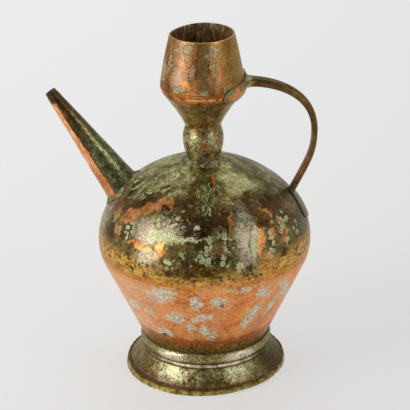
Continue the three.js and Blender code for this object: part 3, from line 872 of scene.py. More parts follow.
        # The golden band shows less at the front middle, where no lamp highlight falls: partly the band's own dark
        # brown, partly painted shade.
        shown = band * (1 - tin * 0.5) * (1 - grown * disc * 0.5) * (1 - centre * height.rise(130, 138) * 0.45)
        coat.lay(shown, recipe.mix(blots.rise(0.48, 0.6) * 0.25, golden, copper))
        # Darker brown over the band's front middle: partly its own colour, partly painted shade between the lamp
        # highlights.
        middle = ground.marks(self.middle, 0.45, Edge.WIDE)
        coat.tint(middle * 0.8, fine, {36: "2a1a05", 50: "573a0b", 64: "7f5e15"})
        spots = ground.cells(5.2, 11.0)
        dots = spots.rise(0.42, 0.3) * band * ground.grain(13.0, 1.0, 8.0).rise(0.49, 0.57)
        dots = dots.highest(ground.marks(self.blobs, 0.3, Edge.MIDDLE))
        coat.tint(dots * 0.85, fine, {35: "1b1106", 65: "483913"})
        seam = (height + streak * 14 - 7 + fine * 3).rise(135.5, 127)
        coat.tint(seam * 0.85, mottle, {38: "a2581f", 50: "c47c3c", 60: "d8985c"})
        metal = bare.highest(seam).highest(brown).highest(middle) * 0.26 + 0.7 - drawn * 0.3
        metal = metal - grown * disc * 0.25 - pale * 0.3
        rough = fine * 0.3 + 0.22 + drawn * 0.15 + grown * disc * 0.1 + pale * 0.2 - brown * 0.04
        self.close(coat, metal, rough, (fine, 0.12), (specks, 0.06), (disc * loose, 0.12))


@dataclass(frozen=True)
class BareCopper(Finish):
    """Rubbed copper of the bowl, with grey tin left in patches and a dark foot."""

    tin: Patches = ovals(
        (-44, 114, 15, 9, 20), (-94, 86, 13, 5, 24), (-68, 85, 6, 4.5, 0), (-9, 107, 5.6, 7.6), (14, 108, 8, 5, -8),
        (-34, 85, 10.5, 6.4, 14), (-3, 88, 11.3, 4, 13), (-18, 74, 5, 7), (-2, 69, 6.9, 5), (8, 61, 5, 7),
        (55, 82, 7.5, 15, -28), (62, 110, 10.1, 5, -34), (99, 100, 26, 5.6, -42), (-58, 59, 14, 6.5, 14),
        (21, 48, 4.6, 4.2), (45, 45, 4.2, 2.3), (21, 122, 7, 1.8, 4), (24, 133, 2.9, 2), (56, 125, 5, 2.6, -29),
        (-19, 131, 3.1, 2.9), (40, 120, 12, 2, 10), (84, 90, 4, 12, -20),
    )
    pits: Patches = ovals((5, 127, 2.6, 1.8), (-26, 126, 4, 1.8), (17, 103, 2.7, 1.9), (-59, 57, 4.7, 2.6))

    def draw(self, ground: Ground) -> None:
        """Draw the copper.

        Args:
            ground: Places on the surface.
        """
        recipe, across, height = ground.recipe, ground.across, ground.height
        blots = ground.grain(15.0, 5.0, 2.0, (1, 1, 1.6), rough=0.6)
        fine, specks = ground.grain(2.4, 4.0, 6.0, rough=0.6), ground.grain(1.0, 2.0, 4.0)
        mottle = blots * 0.5 + fine * 0.5
        coat = ground.coat(mottle, {37: "b05e29", 45: "cc7a3b", 52: "de8f4e", 60: "eaa268"})
        # Painted light: the bowl is tinted lighter and pinker towards its left side.
        painted_light_tint = across.rise(-30, -92) * across.rise(-300, -200)
        coat.tint(painted_light_tint * 0.45, fine, {38: "dfa880", 60: "f5cdac"})
        haze = ground.grain(26.0, 3.0, 12.0).rise(0.5, 0.64)
        coat.lay(haze * 0.35, "c79a7c")
        scratches = ground.grain(2.0, 2.0, 36.0, (1, 1, 7)).rise(0.6, 0.68)
        coat.lay(scratches * 0.35, "a9663c")
        back = across.size().rise(118, 150)
        body = (height + blots * 10).rise(56, 66)
        loose = ground.grain(12.0, 4.0, 40.0).rise(0.6, 0.64) * body * (back * 0.8 + 0.2)
        dusting = ground.grain(3.6, 3.0, 44.0).rise(0.6, 0.66) * body
        dusting = dusting * ground.grain(20.0, 1.0, 46.0).rise(0.46, 0.56) * 0.6
        tin = ground.marks(self.tin, 0.42, Edge.BROAD).highest(loose) * (specks * 0.6 + fine * 0.4).rise(0.34, 0.42)
        tin = tin.highest(dusting)
        coat.tint(tin * 0.92, fine, {36: "9a8f74", 44: "b9ae93", 53: "d0c7ae", 62: "dfd8c4"})
        core = ground.grain(3.0, 2.0, 15.0).rise(0.57, 0.64) * tin
        coat.tint(core * 0.6, specks, {40: "4d5040", 55: "827f64"})
        pits = ground.marks(self.pits, 0.3, Edge.MIDDLE)
        pits = pits.highest(ground.cells(3.4, 17.0).rise(0.16, 0.08) * ground.grain(16.0, 2.0, 28.0).rise(0.42, 0.52))
        coat.lay(pits * 0.9, "452310")
        golden = (height + blots * 20 - 10 + fine * 8 - 4).rise(117, 128)
        coat.tint(golden * 0.85, mottle, {38: "94591c", 48: "c07f34", 58: "d69c55"})
        low = (height + blots * 12 - 6 + fine * 4 - 2).rise(60, 53.5)
        coat.tint(low * 0.92, fine, {36: "6e3512", 50: "9c5422", 64: "bb7034"})
        lowest = (height + blots * 10 - 5 + fine * 6 - 3).rise(48.5, 44.5)
        coat.tint(lowest * 0.92, fine, {36: "56471a", 50: "7b662d", 64: "9e894c"})
        rough = fine * 0.2 + 0.24 + tin * 0.12 + haze * 0.05
        self.close(coat, 0.93 - tin * 0.35, rough, (fine, 0.08), (specks, 0.05), (tin, 0.06),
                   (ground.grain(7.0, 1.0, 30.0), 0.25))


@dataclass(frozen=True)
class FootTin(Finish):
    """Worn tin over the hammered copper of the foot, pitted and stained."""

    # Pale patches on the flare and the bead, left and right of the front where the lamps fall: partly pale tin,
    # partly painted highlight.
    bright: Patches = ovals((-36, 14, 14, 7), (33, 15, 12.5, 5.6), (-40, 31, 15, 4.4), (38, 31, 19, 4.4))
    bead_middle: float = 31.0
    upper_groove: float = 25.9
    fillet_middle: float = 23.7
    lower_groove: float = 21.3
    strip_top: float = 7.0

    def draw(self, ground: Ground) -> None:
        """Draw the foot.

        Args:
            ground: Places on the surface.
        """
        recipe, across, height = ground.recipe, ground.across, ground.height
        blots, fine = ground.grain(9.0, 5.0, 7.0), ground.grain(2.0, 3.0, 3.0)
        specks = ground.grain(1.0, 2.0, 8.0)
        coat = ground.coat(blots * 0.5 + fine * 0.5, {36: "40351a", 44: "665a32", 52: "82774a", 62: "a59c74"})
        back = across.size().rise(215, 150)
        left = (across + blots * 30 - 15).rise(-40, -66) * (1 - across.rise(-130, -150) * 0.5) * back
        coat.tint(left * 0.5, fine, {38: "513c1f", 60: "856b4a"})
        bead = height.off(self.bead_middle).rise(5.4, 4.2)
        right = (across + blots * 30 - 15).rise(52, 76) * back * (1 - bead * 0.5)
        coat.tint(right * 0.9, fine, {38: "251c08", 60: "453719"})
        # Partly pale tin, partly painted highlight.
        shine = ground.marks(self.bright, 0.5, Edge.SOFT)
        pale = recipe.mix(bead, paint("bdbc98"), paint("eee3cc"))
        coat.lay(shine * specks.rise(0.36, 0.5) * (bead * 0.2 + 0.65), pale)
        worn = (height + fine * 4 + blots * 16 - 10).rise(13, 5) * (across + 8).size().rise(96, 60)
        coat.tint(worn * 0.65, blots, {38: "472811", 52: "6a3f20", 64: "85542e"})
        coat.lay(ground.grain(5.0, 2.0, 27.0).rise(0.6, 0.68) * 0.6, "5c643a")
        coat.tint(bead * (1 - shine) * 0.5, fine, {38: "7a6c3a", 60: "a99b62"})
        # Painted shade: dark lines in the grooves above and below the fillet, darkest at the front, and a painted gap
        # shadow on the flare just above the strip.
        front = (across + 2).size().rise(24, 14)
        groove = height.off(self.upper_groove).rise(1.3, 0.6) * (front * 0.45 + 0.5)
        groove = groove.highest(height.off(self.lower_groove).rise(0.8, 0.3) * 0.6)
        rim = (height + fine).off(self.strip_top).rise(1.5, 0.5) * blots.rise(0.36, 0.5)
        groove = groove.highest(rim * 0.8)
        coat.lay(groove, "321a08")
        fillet = height.off(self.fillet_middle).rise(2.0, 1.2) * across.off(2).rise(70, 26)
        fillet = fillet * (blots.rise(0.4, 0.5) * 0.55 + 0.4)
        coat.tint(fillet, fine, {38: "bda482", 62: "eedbc0"})
        pits = ground.cells(2.6, 5.0).rise(0.26, 0.14) * ground.grain(7.0, 2.0, 14.0).rise(0.44, 0.54)
        coat.lay(pits * 0.85, "231d12")
        rough = fine * 0.2 + 0.27 + groove * 0.2
        self.close(coat, 0.88 - pits * 0.4 - groove * 0.3, rough + 0.05, (ground.grain(5.2, 1.0, 23.0), 1.1),
                   (fine, 0.2), (pits, -0.35), (specks, 0.08))


@dataclass(frozen=True)
class StripBrass(Finish):
    """Hammered brass strip, dull in its crimps."""

    def draw(self, ground: Ground) -> None:
        """Draw the brass.

        Args:
            ground: Places on the surface.
        """
        height = ground.height
        fine, blots = ground.grain(1.8, 3.0, 2.0), ground.grain(6.0, 3.0, 5.0)
        coat = ground.coat(blots * 0.6 + fine * 0.4, {38: "57471b", 46: "887434", 54: "a8914a", 64: "c4b272"})
        seam = ground.grain(2.6, 1.0, 9.0, (1, 1, 8)).rise(0.64, 0.7)
        coat.lay(seam * 0.6, "4a3a18")
        # Painted shadow: the strip is darkened along its upper edge, under the flare.
        coat.lay((height + fine * 1.6).rise(5.0, 6.2) * 0.55, "33290f")
        self.close(coat, 0.9, fine * 0.2 + 0.24, (ground.grain(2.8, 1.0, 12.0), 0.5), (seam, -0.3), (fine, 0.12))


@dataclass(frozen=True)
class NeckTin(Finish):
    """Tarnished tin over copper on the bulb."""

    # Brown patches at the bulb's front middle: painted reflection of the dark gap between the lamps.
    brown: Patches = ovals((3, 231, 5.5, 5), (12, 236, 3, 3))
    # Pale green patches left and right on the bulb's front, where the lamps fall: painted highlights.
    pale: Patches = ovals((-10, 239, 3.6, 3.6), (8, 238, 3, 4.5))
    waist: float = 246.5

    def draw(self, ground: Ground) -> None:
        """Draw the neck.

        Args:
            ground: Places on the surface.
        """
        height = ground.height
        blots, fine = ground.grain(6.0, 5.0, 4.0), ground.grain(1.7, 3.0, 6.0)
        coat = ground.coat(blots * 0.5 + fine * 0.5, {37: "463a1a", 45: "746534", 53: "978b5c", 62: "bab28c"})
        # Brown mottle all round, and at the front middle painted dark reflection.
        brown = ground.grain(8.0, 3.0, 16.0).rise(0.54, 0.62).highest(ground.marks(self.brown, 0.4))
        coat.tint(brown * 0.75, fine, {35: "5a3417", 65: "945f30"})
        # Painted highlights.
        pale = ground.marks(self.pale, 0.6) * fine.rise(0.3, 0.5)
        coat.tint(pale * 0.55, fine, {40: "8a9674", 62: "aeb698"})
        coat.lay(height.off(self.waist).rise(2.2, 0.8) * 0.55, "302817")
        crust = (height + fine * 7 + blots * 5).rise(223, 218)
        coat.tint(crust * 0.8, fine, {35: "9d9268", 65: "ddd0ac"})
        grains = ground.cells(3.0, 6.0).rise(0.4, 0.26) * ground.grain(7.0, 1.0, 12.0).rise(0.5, 0.58)
        coat.lay(grains * 0.7, "a8a87e")
        self.close(coat, 0.85 - crust * 0.3, fine * 0.24 + 0.22, (fine, 0.25), (blots, 0.3), (grains, 0.12))


@dataclass(frozen=True)
class SolderCrust(Finish):
    """Tin solder with pale crust and green in its hollows."""

    chalk: float = 0.0

    def draw(self, ground: Ground) -> None:
        """Draw the solder.

        Args:
            ground: Places on the surface.
        """
        blots, fine = ground.grain(4.0, 4.0, 2.0), ground.grain(1.3, 3.0, 7.0)
        coat = ground.coat(blots * 0.5 + fine * 0.5, {38: "2b2511", 46: "474023", 53: "69613c", 60: "8e8560",
                           70: "b5ab86"})
        coat.lay(ground.grain(5.0, 2.0, 11.0).rise(0.52, 0.62) * 0.5, "5a6038")
        coat.tint(blots.rise(0.42, 0.54) * self.chalk, fine, {40: "837c56", 60: "b0a980"})
        self.close(coat, 0.6, fine * 0.3 + 0.28, (fine, 0.35), (blots, 0.4))


@dataclass(frozen=True)
class FunnelPatina(Finish):
    """Brown-olive patina under the cup, copper bright along the sharp edge."""

    haze_height: float = 272.0
    highlight_line: float = 285.2

    def draw(self, ground: Ground) -> None:
        """Draw the funnel.

        Args:
            ground: Places on the surface.
        """
        across, height = ground.across, ground.height
        blots, fine = ground.grain(7.0, 5.0, 5.0), ground.grain(1.8, 3.0, 2.0)
        coat = ground.coat(blots * 0.5 + fine * 0.5, {37: "4c3210", 45: "7b5826", 53: "a07b42", 63: "ceae78"})
        streaks = ground.grain(3.0, 3.0, 18.0, (1, 1, 4)).rise(0.55, 0.65)
        hazy = (height - self.haze_height + blots * 12 - 6).size().rise(10, 4) * across.off(2).rise(34, 14)
        coat.lay(streaks.highest(hazy * fine.rise(0.4, 0.56) * 0.8) * 0.5, "6a6a44")
        grains = ground.cells(3.4, 3.0).rise(0.4, 0.26) * ground.grain(8.0, 1.0, 9.0).rise(0.5, 0.58)
        coat.lay(grains * 0.55, "b5b07e")
        edge = (height + fine * 2 + blots * 4).rise(282.0, 286.4)
        coat.tint(edge * 0.9, blots, {36: "864411", 50: "ab5f22", 64: "c67e40"})
        # Painted highlight: a thin bright line along the band under the sharp edge, at the front.
        line = height.off(self.highlight_line).rise(1.0, 0.2) * across.off(2).rise(22, 8)
        coat.lay(line * blots.rise(0.4, 0.5) * 0.8, "f6bc84")
        self.close(coat, 0.78 + edge * 0.15, fine * 0.22 + 0.24, (fine * (1 - edge * 0.7), 0.14), (blots, 0.25),
                   (grains, 0.1))


@dataclass(frozen=True)
class CollarCopper(Finish):
    """Golden-brown copper of the cup with outlined grey-green spots and crusts."""

    spots: Patches = ovals(
        (-15, 331, 6.0, 3.6, 20), (-15.4, 323, 2.0, 3.5), (-9.7, 311, 2.2, 6.8, -12), (-25.7, 292.1, 3.9, 3.2),
        (-18.5, 294, 3.8, 3.2), (2.1, 292.2, 3.4, 2.8), (20.4, 293.6, 2, 3.7), (5, 325.4, 2.6, 2.7),
    )
    crusts: Patches = ovals(
        (-46, 309, 7, 4.6), (-49, 300, 6, 4.6), (-37, 316, 3, 6), (14, 329, 5.4, 4), (-30, 327, 3, 2.4),
        (10, 316, 2, 7),
    )
    bright: Patches = ovals((-15.7, 298.5, 4.2, 4.6), (-21.7, 317.7, 1.4, 1.3), (-6, 290, 9, 2.4))
    streaks: Patches = ovals((0.7, 316, 3.4, 18), (2.5, 298, 2.2, 7))
    painted_gleam: Patches = ovals((-27, 302, 5, 8))
    # Places round the cup of the painted highlight columns and of a painted shade column.
    left_highlight_column: float = 23.0
    right_highlight_column: float = 12.0
    shaded: float = 26.0
    border: float = 292.8

    def draw(self, ground: Ground) -> None:
        """Draw the collar.

        Args:
            ground: Places on the surface.
        """
        across, height = ground.across, ground.height
        blots = ground.grain(9.0, 5.0, 8.0, (1, 1, 1.8))
        fine, specks = ground.grain(1.9, 3.0, 5.0), ground.grain(0.9, 2.0, 3.0)
        coat = ground.coat(blots * 0.6 + fine * 0.4, {36: "5c3512", 45: "7d4c1f", 53: "935f2e", 62: "ad7a46"})
        olive = (across + blots * 26 - 13).rise(16, 34).highest(across.rise(-72, -100))
        olive = olive.highest((height + blots * 12 - 6).rise(326, 336) * 0.75)
        coat.tint(olive * 0.72, fine, {30: "6a5322", 50: "8c7132", 70: "a98d4c"})
        # Grey-green streaks down the cup's front middle: painted reflection of the dark gap between the lamps.
        streaks = ground.marks(self.streaks, 0.6) * fine.rise(0.3, 0.46)
        coat.tint(streaks * 0.6, fine, {30: "4a4c2e", 60: "70704c"})
        loose = ground.grain(4.6, 3.0, 31.0, (1, 1, 1.7)).rise(0.6, 0.68) * 0.55
        coat.lay(loose * 0.7, "8a8456")
        # Painted highlights: a pinkish column on the left and a tan one right of the front, where the lamps fall;
        # then a painted shade column beyond the tan one.
        painted_light_tint = (across + self.left_highlight_column + blots * 8 - 4).size().rise(13, 5) * (1 - height.rise(306, 330) * 0.1)
        painted_light_tint = painted_light_tint * height.rise(290, 298)
        tan = (across - self.right_highlight_column + blots * 12 - 6).size().rise(8, 2) * height.rise(294, 302)
        coat.tint(tan * 0.5, fine, {38: "96734a", 62: "bd9a6e"})
        coat.tint(painted_light_tint * 0.7, fine, {38: "745a45", 62: "91765e"})
        shade = (across - self.shaded + blots * 16 - 8).size().rise(11, 3) * height.rise(292, 300)
        coat.tint(shade * 0.45, fine, {38: "573a13", 62: "7c5c26"})
        # Painted highlight: a pale gleam low on the cup's left.
        coat.lay(ground.marks(self.painted_gleam, 0.7) * 0.2, "d9bc9c")
        coat.lay(ground.marks(self.bright, 0.3) * 0.7, "cf8c4a")
        rim = ground.marks(self.spots, 0.15)
        core = ground.marks(self.spots, 0.3)
        wide = ground.marks([spot.grown(1.22) for spot in self.spots], 0.15)
        ring = (wide - rim).highest(0.0)
        coat.lay(ring * 0.8, "3c3a24")
        coat.tint(core * specks.rise(0.36, 0.5) * 0.62, specks * 0.5 + fine * 0.5, {40: "5a5f3c", 50: "8c8462",
                  60: "b3ab8c"})
        crust = ground.marks(self.crusts, 0.4) * fine.rise(0.42, 0.54)
        coat.tint(crust * 0.85, specks, {35: "6c7040", 65: "c3bf98"})
        edge = (height + fine * 2 + blots * 4).rise(292.6, 288.6)
        coat.tint(edge * 0.8, blots, {36: "8a440e", 50: "ad5a1b", 64: "c67a39"})
        border = (height + fine * 2 + blots * 4).off(self.border).rise(1.0, 0.2)
        coat.lay(border * blots.rise(0.42, 0.5) * 0.7, "5c2e0c")
        lip = height.rise(336.6, 337.5) * across.size().rise(64, 50)
        coat.lay(lip * 0.6, "b48a50")
        rough = fine * 0.2 + 0.3 + core * 0.1 + painted_light_tint * 0.06
        self.close(coat, 0.85 - crust * 0.4 - core * 0.3, rough, (fine * (1 - edge * 0.7), 0.1), (blots, 0.3),
                   (crust, 0.35), (core, 0.1), (ring, -0.12))


@dataclass(frozen=True)
class Lining(Finish):
    """Dark inside of the cup with grey-green runs and copper at one side."""

    def draw(self, ground: Ground) -> None:
        """Draw the lining.

        Args:
            ground: Places on the surface.
        """
        across, height = ground.across, ground.height
        runs = ground.grain(2.6, 4.0, 3.0, (1, 1, 6))
        fine = ground.grain(1.6, 3.0, 4.0)
        coat = ground.coat(runs * 0.6 + fine * 0.4, {38: "3a2c12", 46: "664f2b", 53: "8b784f", 60: "bbb38e"})
        warm = across.size().rise(150, 100) * ground.grain(9.0, 2.0, 8.0).rise(0.4, 0.6)
        coat.lay(warm * 0.5, "9a5c28")
        # Painted shade: darker deeper down inside the cup.
        low = height.rise(300, 265)
        coat.lay(low * 0.7, "2a2114")
        self.close(coat, 0.5, fine * 0.2 + 0.42, (fine, 0.2), (runs, 0.2))


@dataclass(frozen=True)
class SpoutPatina(Finish):
    """Brown patina that turns green towards the shoulder, with bare copper along the underside."""

    root: tuple[float, float, float] = (0.0, 0.0, 0.0)
    along: tuple[float, float, float] = (0.0, 0.0, 1.0)
    upper_side: tuple[float, float, float] = (0.818, 0.209, 0.536)
    base_radius: float = 17.7
    narrowing: float = 12.05 / 113.5

    def draw(self, ground: Ground) -> None:
        """Draw the spout.

        Args:
            ground: Places on the surface.
        """
        recipe = ground.recipe
        blots, fine = ground.grain(7.0, 5.0, 9.0), ground.grain(1.9, 3.0, 3.0)
        specks = ground.grain(1.0, 2.0, 8.0)
        from_root = recipe.vector("SUBTRACT", ground.spot, self.root)
        distance = recipe.along(from_root, self.along)
        lift = recipe.along(from_root, self.upper_side) / (self.base_radius - distance * self.narrowing)
        mottle = blots * 0.45 + fine * 0.4 + specks * 0.15
        brown = recipe.ramp(mottle, {38: "281806", 46: "442f0e", 54: "60461e", 63: "7d643a"})
        green = recipe.ramp(mottle, {38: "232410", 45: "3c411f", 52: "555b34", 62: "7d8058"})
        coat = Coat(recipe, recipe.mix((distance + blots * 60 - 30).rise(84, 50), brown, green))
        # Painted highlight: the pale, broken line along the cone's upper side.
        highlight_ridge = (lift - 0.46 + (blots - 0.5) * 0.25).size().rise(0.24, 0.03)
        reached = (distance + fine * 20).rise(104, 84) * (distance + blots * 20).rise(24, 46)
        worn = highlight_ridge * reached * specks.rise(0.38, 0.52) * blots.rise(0.36, 0.5)
        coat.tint(worn * 0.7, fine, {38: "8f8a5c", 50: "aba678", 62: "c8c39c"})
        dark = ground.grain(11.0, 2.0, 28.0).rise(0.55, 0.65) * distance.rise(30, 18)
        dark = dark.highest(distance.rise(84, 100) * 0.6)
        coat.lay(dark * 0.8, "33200f")
        shore = lift + (blots - 0.5) * 0.5 + (fine - 0.5) * 0.15
        bare = (shore - distance.rise(66, 100) * 0.12).rise(-0.5, -0.55)
        bare = bare * (distance + blots * 8).rise(109, 104)
        copper = recipe.ramp(mottle, {40: "ca7b45", 50: "e49e6a", 60: "f3bf93"})
        speckled = recipe.mix(distance.rise(40, 18) * specks.rise(0.4, 0.54) * 0.95, copper, paint("9a4a26"))
        coat.lay(bare, speckled)
        edge = (shore + 0.44).size().rise(0.2, 0.04) * (distance.rise(24, 64) * 0.6 + 0.35)
        coat.lay(edge * (1 - bare), "3f240b")
        self.close(coat, bare * 0.3 + 0.62, fine * 0.2 + 0.24, (fine, 0.16), (blots, 0.3), (bare, -0.1),
                   (specks, 0.06))


@dataclass(frozen=True)
class HandlePatina(Finish):
    """Forged copper: brown on the bar, green in the corners, rubbed on the plates."""

    fan: Patches = ovals((33, 284, 9, 7), (52, 284, 8, 5))

    def draw(self, ground: Ground) -> None:
        """Draw the handle.

        Args:
            ground: Places on the surface.
        """
        recipe, height = ground.recipe, ground.height
        blots, fine = ground.grain(8.0, 5.0, 6.0), ground.grain(1.9, 3.0, 7.0)
        normal = recipe.node("ShaderNodeNewGeometry").outputs["Normal"]
        upward = Sum(recipe, recipe.node("ShaderNodeSeparateXYZ", {}, {0: normal}).outputs[2])
        coat = ground.coat(blots * 0.6 + fine * 0.4, {37: "452e10", 46: "583c19", 54: "684920", 63: "785629"})
        # Painted shade: faces that look up are darkened, grey-green near the cup and dark brown elsewhere.
        near = (ground.reach + blots * 16 - 8).rise(78, 56) * upward.rise(0.2, 0.7)
        coat.tint(near * 0.85, fine, {36: "25220d", 50: "383418", 66: "504a2c"})
        coat.tint(upward.rise(0.3, 0.8) * 0.6, blots, {38: "281e09", 60: "463a1c"})
        plate = ground.reach.rise(47, 43.5) * height.rise(262, 270)
        rubbed = plate * ground.marks(self.fan, 0.5, Edge.SOFT)
        coat.tint(plate * 0.75, blots, {35: "5a4a28", 60: "7d7145"})
        coat.tint(rubbed, fine, {30: "b06a34", 55: "d08a4c", 75: "e0a56c"})
        green = (plate * 0.9).highest(height.rise(186, 178)) * ground.grain(5.0, 3.0, 17.0).rise(0.5, 0.6)
        coat.tint(green * 0.6, fine, {35: "49583a", 65: "84907a"})
        leaf = (height + blots * 8 - 4).rise(184, 176)
        coat.tint(leaf * 0.7, fine, {30: "363a22", 50: "515537", 70: "70785c"})
        # Painted reflection: faces that look down, high on the bar, are tinted a lighter orange-brown.
        under = upward.rise(-0.3, -0.7) * (height.rise(268, 282))
        coat.tint(under * 0.5, fine, {38: "7c4826", 60: "a8734c"})
        self.close(coat, 0.72 - leaf * 0.2, fine * 0.25 + 0.3, (fine, 0.12), (blots, 0.25),
                   (ground.grain(3.6, 1.0, 33.0), 0.12))


# ---------------------------------------------------------------- sub-assemblies


@dataclass
class Foot:
    """Spreading foot and the brass strip folded over its rim."""

    bench: Bench
    line: BodyLine
    radius: float = 78.0
    height: float = 37.0
    sheet: float = 1.2
    gap: float = 0.3
    lip: float = 1.6
    bead_height: float = 8.6
    bead_swell: float = 1.2
    bead_round: float = 0.8
    bead_steps: int = 14
    groove: float = 2.0
    groove_depth: float = 1.1
    fillet: float = 2.2
    rounding: float = 0.25
    pull_out: float = 2.8
    pull_up: float = 7.2
    strip: float = 0.9
    strip_height: float = 5.6
    strip_fold: float = 3.6
    strip_spread: float = 1.2
    rim_wave: float = 1.0
    knock: float = 2.3
    knock_azimuth: float = -38 * DEGREE
    segments: int = 256
    strip_segments: int = 420

    def collar_inside(self) -> float:
        """Give the collar's inner radius, a hair outside the bowl."""
        return self.line.radius(self.height) + 0.1

    def flare_top(self) -> float:
        """Give the height where the flare ends in the lower groove."""
        return self.height - self.lip - self.bead_height - 2 * self.groove - self.fillet

    def bend(self, spot: Vector) -> Vector:
        """Hammer the foot, let its rim wander, and knock it up a little at the right front.

        Args:
            spot: Spot of the true form.

        Returns:
            Spot of the made one.
        """
        angle = math.atan2(spot.y, spot.x)
        share = max(0.0, 1 - spot.z / self.flare_top())
        wave = sum(math.sin(lobes * (angle + 1)) / lobes for lobes in (3, 7, 11))
        scale = 1 + self.rim_wave * share * wave / self.radius
        dent = ripple(spot, (0.3, 8.0), (0.12, 3.2))
        out = flat(spot).normalized()
        knocked = self.knock * share * max(0.0, math.cos(angle - self.knock_azimuth)) ** 1.5
        bent = Vector((spot.x * scale, spot.y * scale, spot.z + knocked)) - out * knocked * 0.5
        return bent + out * dent * min(1.0, share * 2)

    def build_ring(self) -> Thing:
        """Build the foot from its skirt up to its collar.

        Returns:
            The new piece.
        """
        collar = self.collar_inside() + self.sheet
        rim = self.radius - self.strip - 0.2
        bead_foot = self.height - self.lip - self.bead_height
        high = bead_foot - self.groove
        low = high - self.fillet
        flare = drawn_curve((rim - self.strip_spread, self.strip_height),
                            (collar + self.pull_out, self.strip_height + self.pull_up),
                            (collar - self.groove_depth, self.flare_top()), 30)
        foot = self.strip + self.gap
        outside = [(rim, foot), *flare, (collar - 0.3, low - self.rounding), (collar, low + self.rounding),
                   (collar, high - self.rounding), (collar - 0.3, high + self.rounding)]
        middle = (high + bead_foot) / 2
        outside += [(collar - self.groove_depth, middle - 0.2), (collar - self.groove_depth, middle + 0.3)]
        outside += [(collar + self.bead_swell * math.sin(math.pi * share) ** self.bead_round,
                     bead_foot + self.bead_height * share) for share in shares(self.bead_steps)]
        outside += [(collar - 0.1, self.height - 0.3), (collar - 0.5, self.height)]
        inside = [(self.collar_inside(), self.height), (self.collar_inside(), bead_foot)]
        inside += [*set_in(flare, self.sheet)[::-1], (rim - self.sheet, foot)]
        return self.bench.turned("foot_ring_looks", [*outside, *inside], self.segments, self.bend)

    def bend_strip(self, spot: Vector) -> Vector:
        """Crimp the strip, and leave its upper edge ragged.

        Args:
            spot: Spot of the true form.

        Returns:
            Spot of the made one.
        """
        bent = self.bend(spot)
        angle = math.atan2(spot.y, spot.x)
        out = flat(spot).normalized()
        beat = out * 40
        crimp = ripple(beat, (0.35, 2.6)) * min(1.0, spot.z / 3)
        if spot.z > self.strip_fold + 0.5:
            cut = 0.7 * noise.noise(beat / 1.9 + Vector((5, 0, 0)))
            bent.z += cut + 0.5 * math.sin(10 * angle) * math.cos(5 * angle)
        return bent + out * crimp

    def build_strip(self) -> Thing:
        """Build the folded strip: outer leg, underside and inner leg.

        Returns:
            The new piece.
        """
        slot = self.radius - self.strip - self.gap - self.sheet - self.gap
        top = self.radius - self.strip_spread
        outer = straight((self.radius, 0.35), (top, self.strip_height), 8)
        back = straight((top - self.strip, self.strip_height), (self.radius - self.strip, self.strip), 4)
        inner = [(slot, self.strip), (slot - 1, self.strip_fold), (slot - 1 - self.strip, self.strip_fold)]
        section = [*outer, *back, *inner, (slot - self.strip, 0.0), (self.radius - 0.4, 0.0)]
        return self.bench.turned("foot_binding_looks", section, self.strip_segments, self.bend_strip)

    def make(self) -> None:
        """Build and dress the foot and its strip."""
        x = self.bench.axis_x
        self.bench.dress(self.build_ring(), FootTin("foot_tin", x, 70.0), "foot_tinned_copper", ["foot_ring"])
        self.bench.dress(self.build_strip(), StripBrass("strip_brass", x, 78.0), "binding_brass", ["foot_binding"])


@dataclass
class Body:
    """Bowl and domed shoulder, joined in a burnished seam."""

    bench: Bench
    line: BodyLine
    sheet: float = 1.5
    seam_height: float = 125.0
    lap: float = 9.0
    gap: float = 0.3
    bottom: float = 29.0
    corner: float = 5.0
    middle: float = 0.2
    spigot: float = 13.5
    spigot_height: float = 7.0
    segments: int = 288
    hammer: Hammering = field(default_factory=lambda: Hammering(0.35, 42.0, 0.07, 10.0, 1.0))

    def bend(self, spot: Vector) -> Vector:
        """Move a spot in by the hammering, towards the body's heart.

        Args:
            spot: Spot of the true form.

        Returns:
            Spot of the made one.
        """
        fade = min(1.0, max(0.0, (flat(spot).length - 18) / 12))
        inwards = spot - UP * self.seam_height
        return spot - inwards.normalized() * self.hammer.depth(spot) * fade

    def build_bowl(self) -> Thing:
        """Build the bowl with its flat bottom and its rim inside the shoulder.

        Returns:
            The new piece.
        """
        line, foot = self.line, self.bottom + self.corner
        edge = (line.radius(self.bottom) - self.corner, self.bottom)
        corner = drawn_curve(edge, (line.radius(self.bottom), self.bottom), (line.radius(foot), foot), 6)
        low = line.belly_height - line.knuckle * math.sin(line.taper)
        outline = [(self.middle, self.bottom), *corner, *line.wall(foot, low, 26)[1:]]
        outline += line.wall(low, self.seam_height - 0.02, 10)[1:]
        outline += line.wall(self.seam_height, self.seam_height + self.lap, 5, self.sheet + self.gap)
        section = [*hollow(outline, self.sheet)[:-1], (self.middle, self.bottom + self.sheet)]
        return self.bench.turned("body_bowl_looks", section, self.segments, self.bend)

    def build_shoulder(self) -> Thing:
        """Build the domed shoulder with its spigot.

        Returns:
            The new piece.
        """
        outline = self.line.wall(self.seam_height, self.line.belly_height, 6)
        outline += self.line.dome(self.spigot + self.sheet, 70)[1:]
        top = outline[-1][1]
        outline += [(self.spigot + 0.2, top + 0.6), (self.spigot, top + 1.5), (self.spigot, top + self.spigot_height)]
        return self.bench.turned("body_shoulder_looks", hollow(outline, self.sheet), self.segments, self.bend)

    def make(self) -> None:
        """Build and dress the bowl and the shoulder."""
        x = self.bench.axis_x
        self.bench.dress(self.build_bowl(), BareCopper("bowl_copper", x), "bowl_copper", ["body_bowl"])
        self.bench.dress(self.build_shoulder(), ShoulderPatina("shoulder_patina", x), "shoulder_patina",
                         ["body_shoulder"])


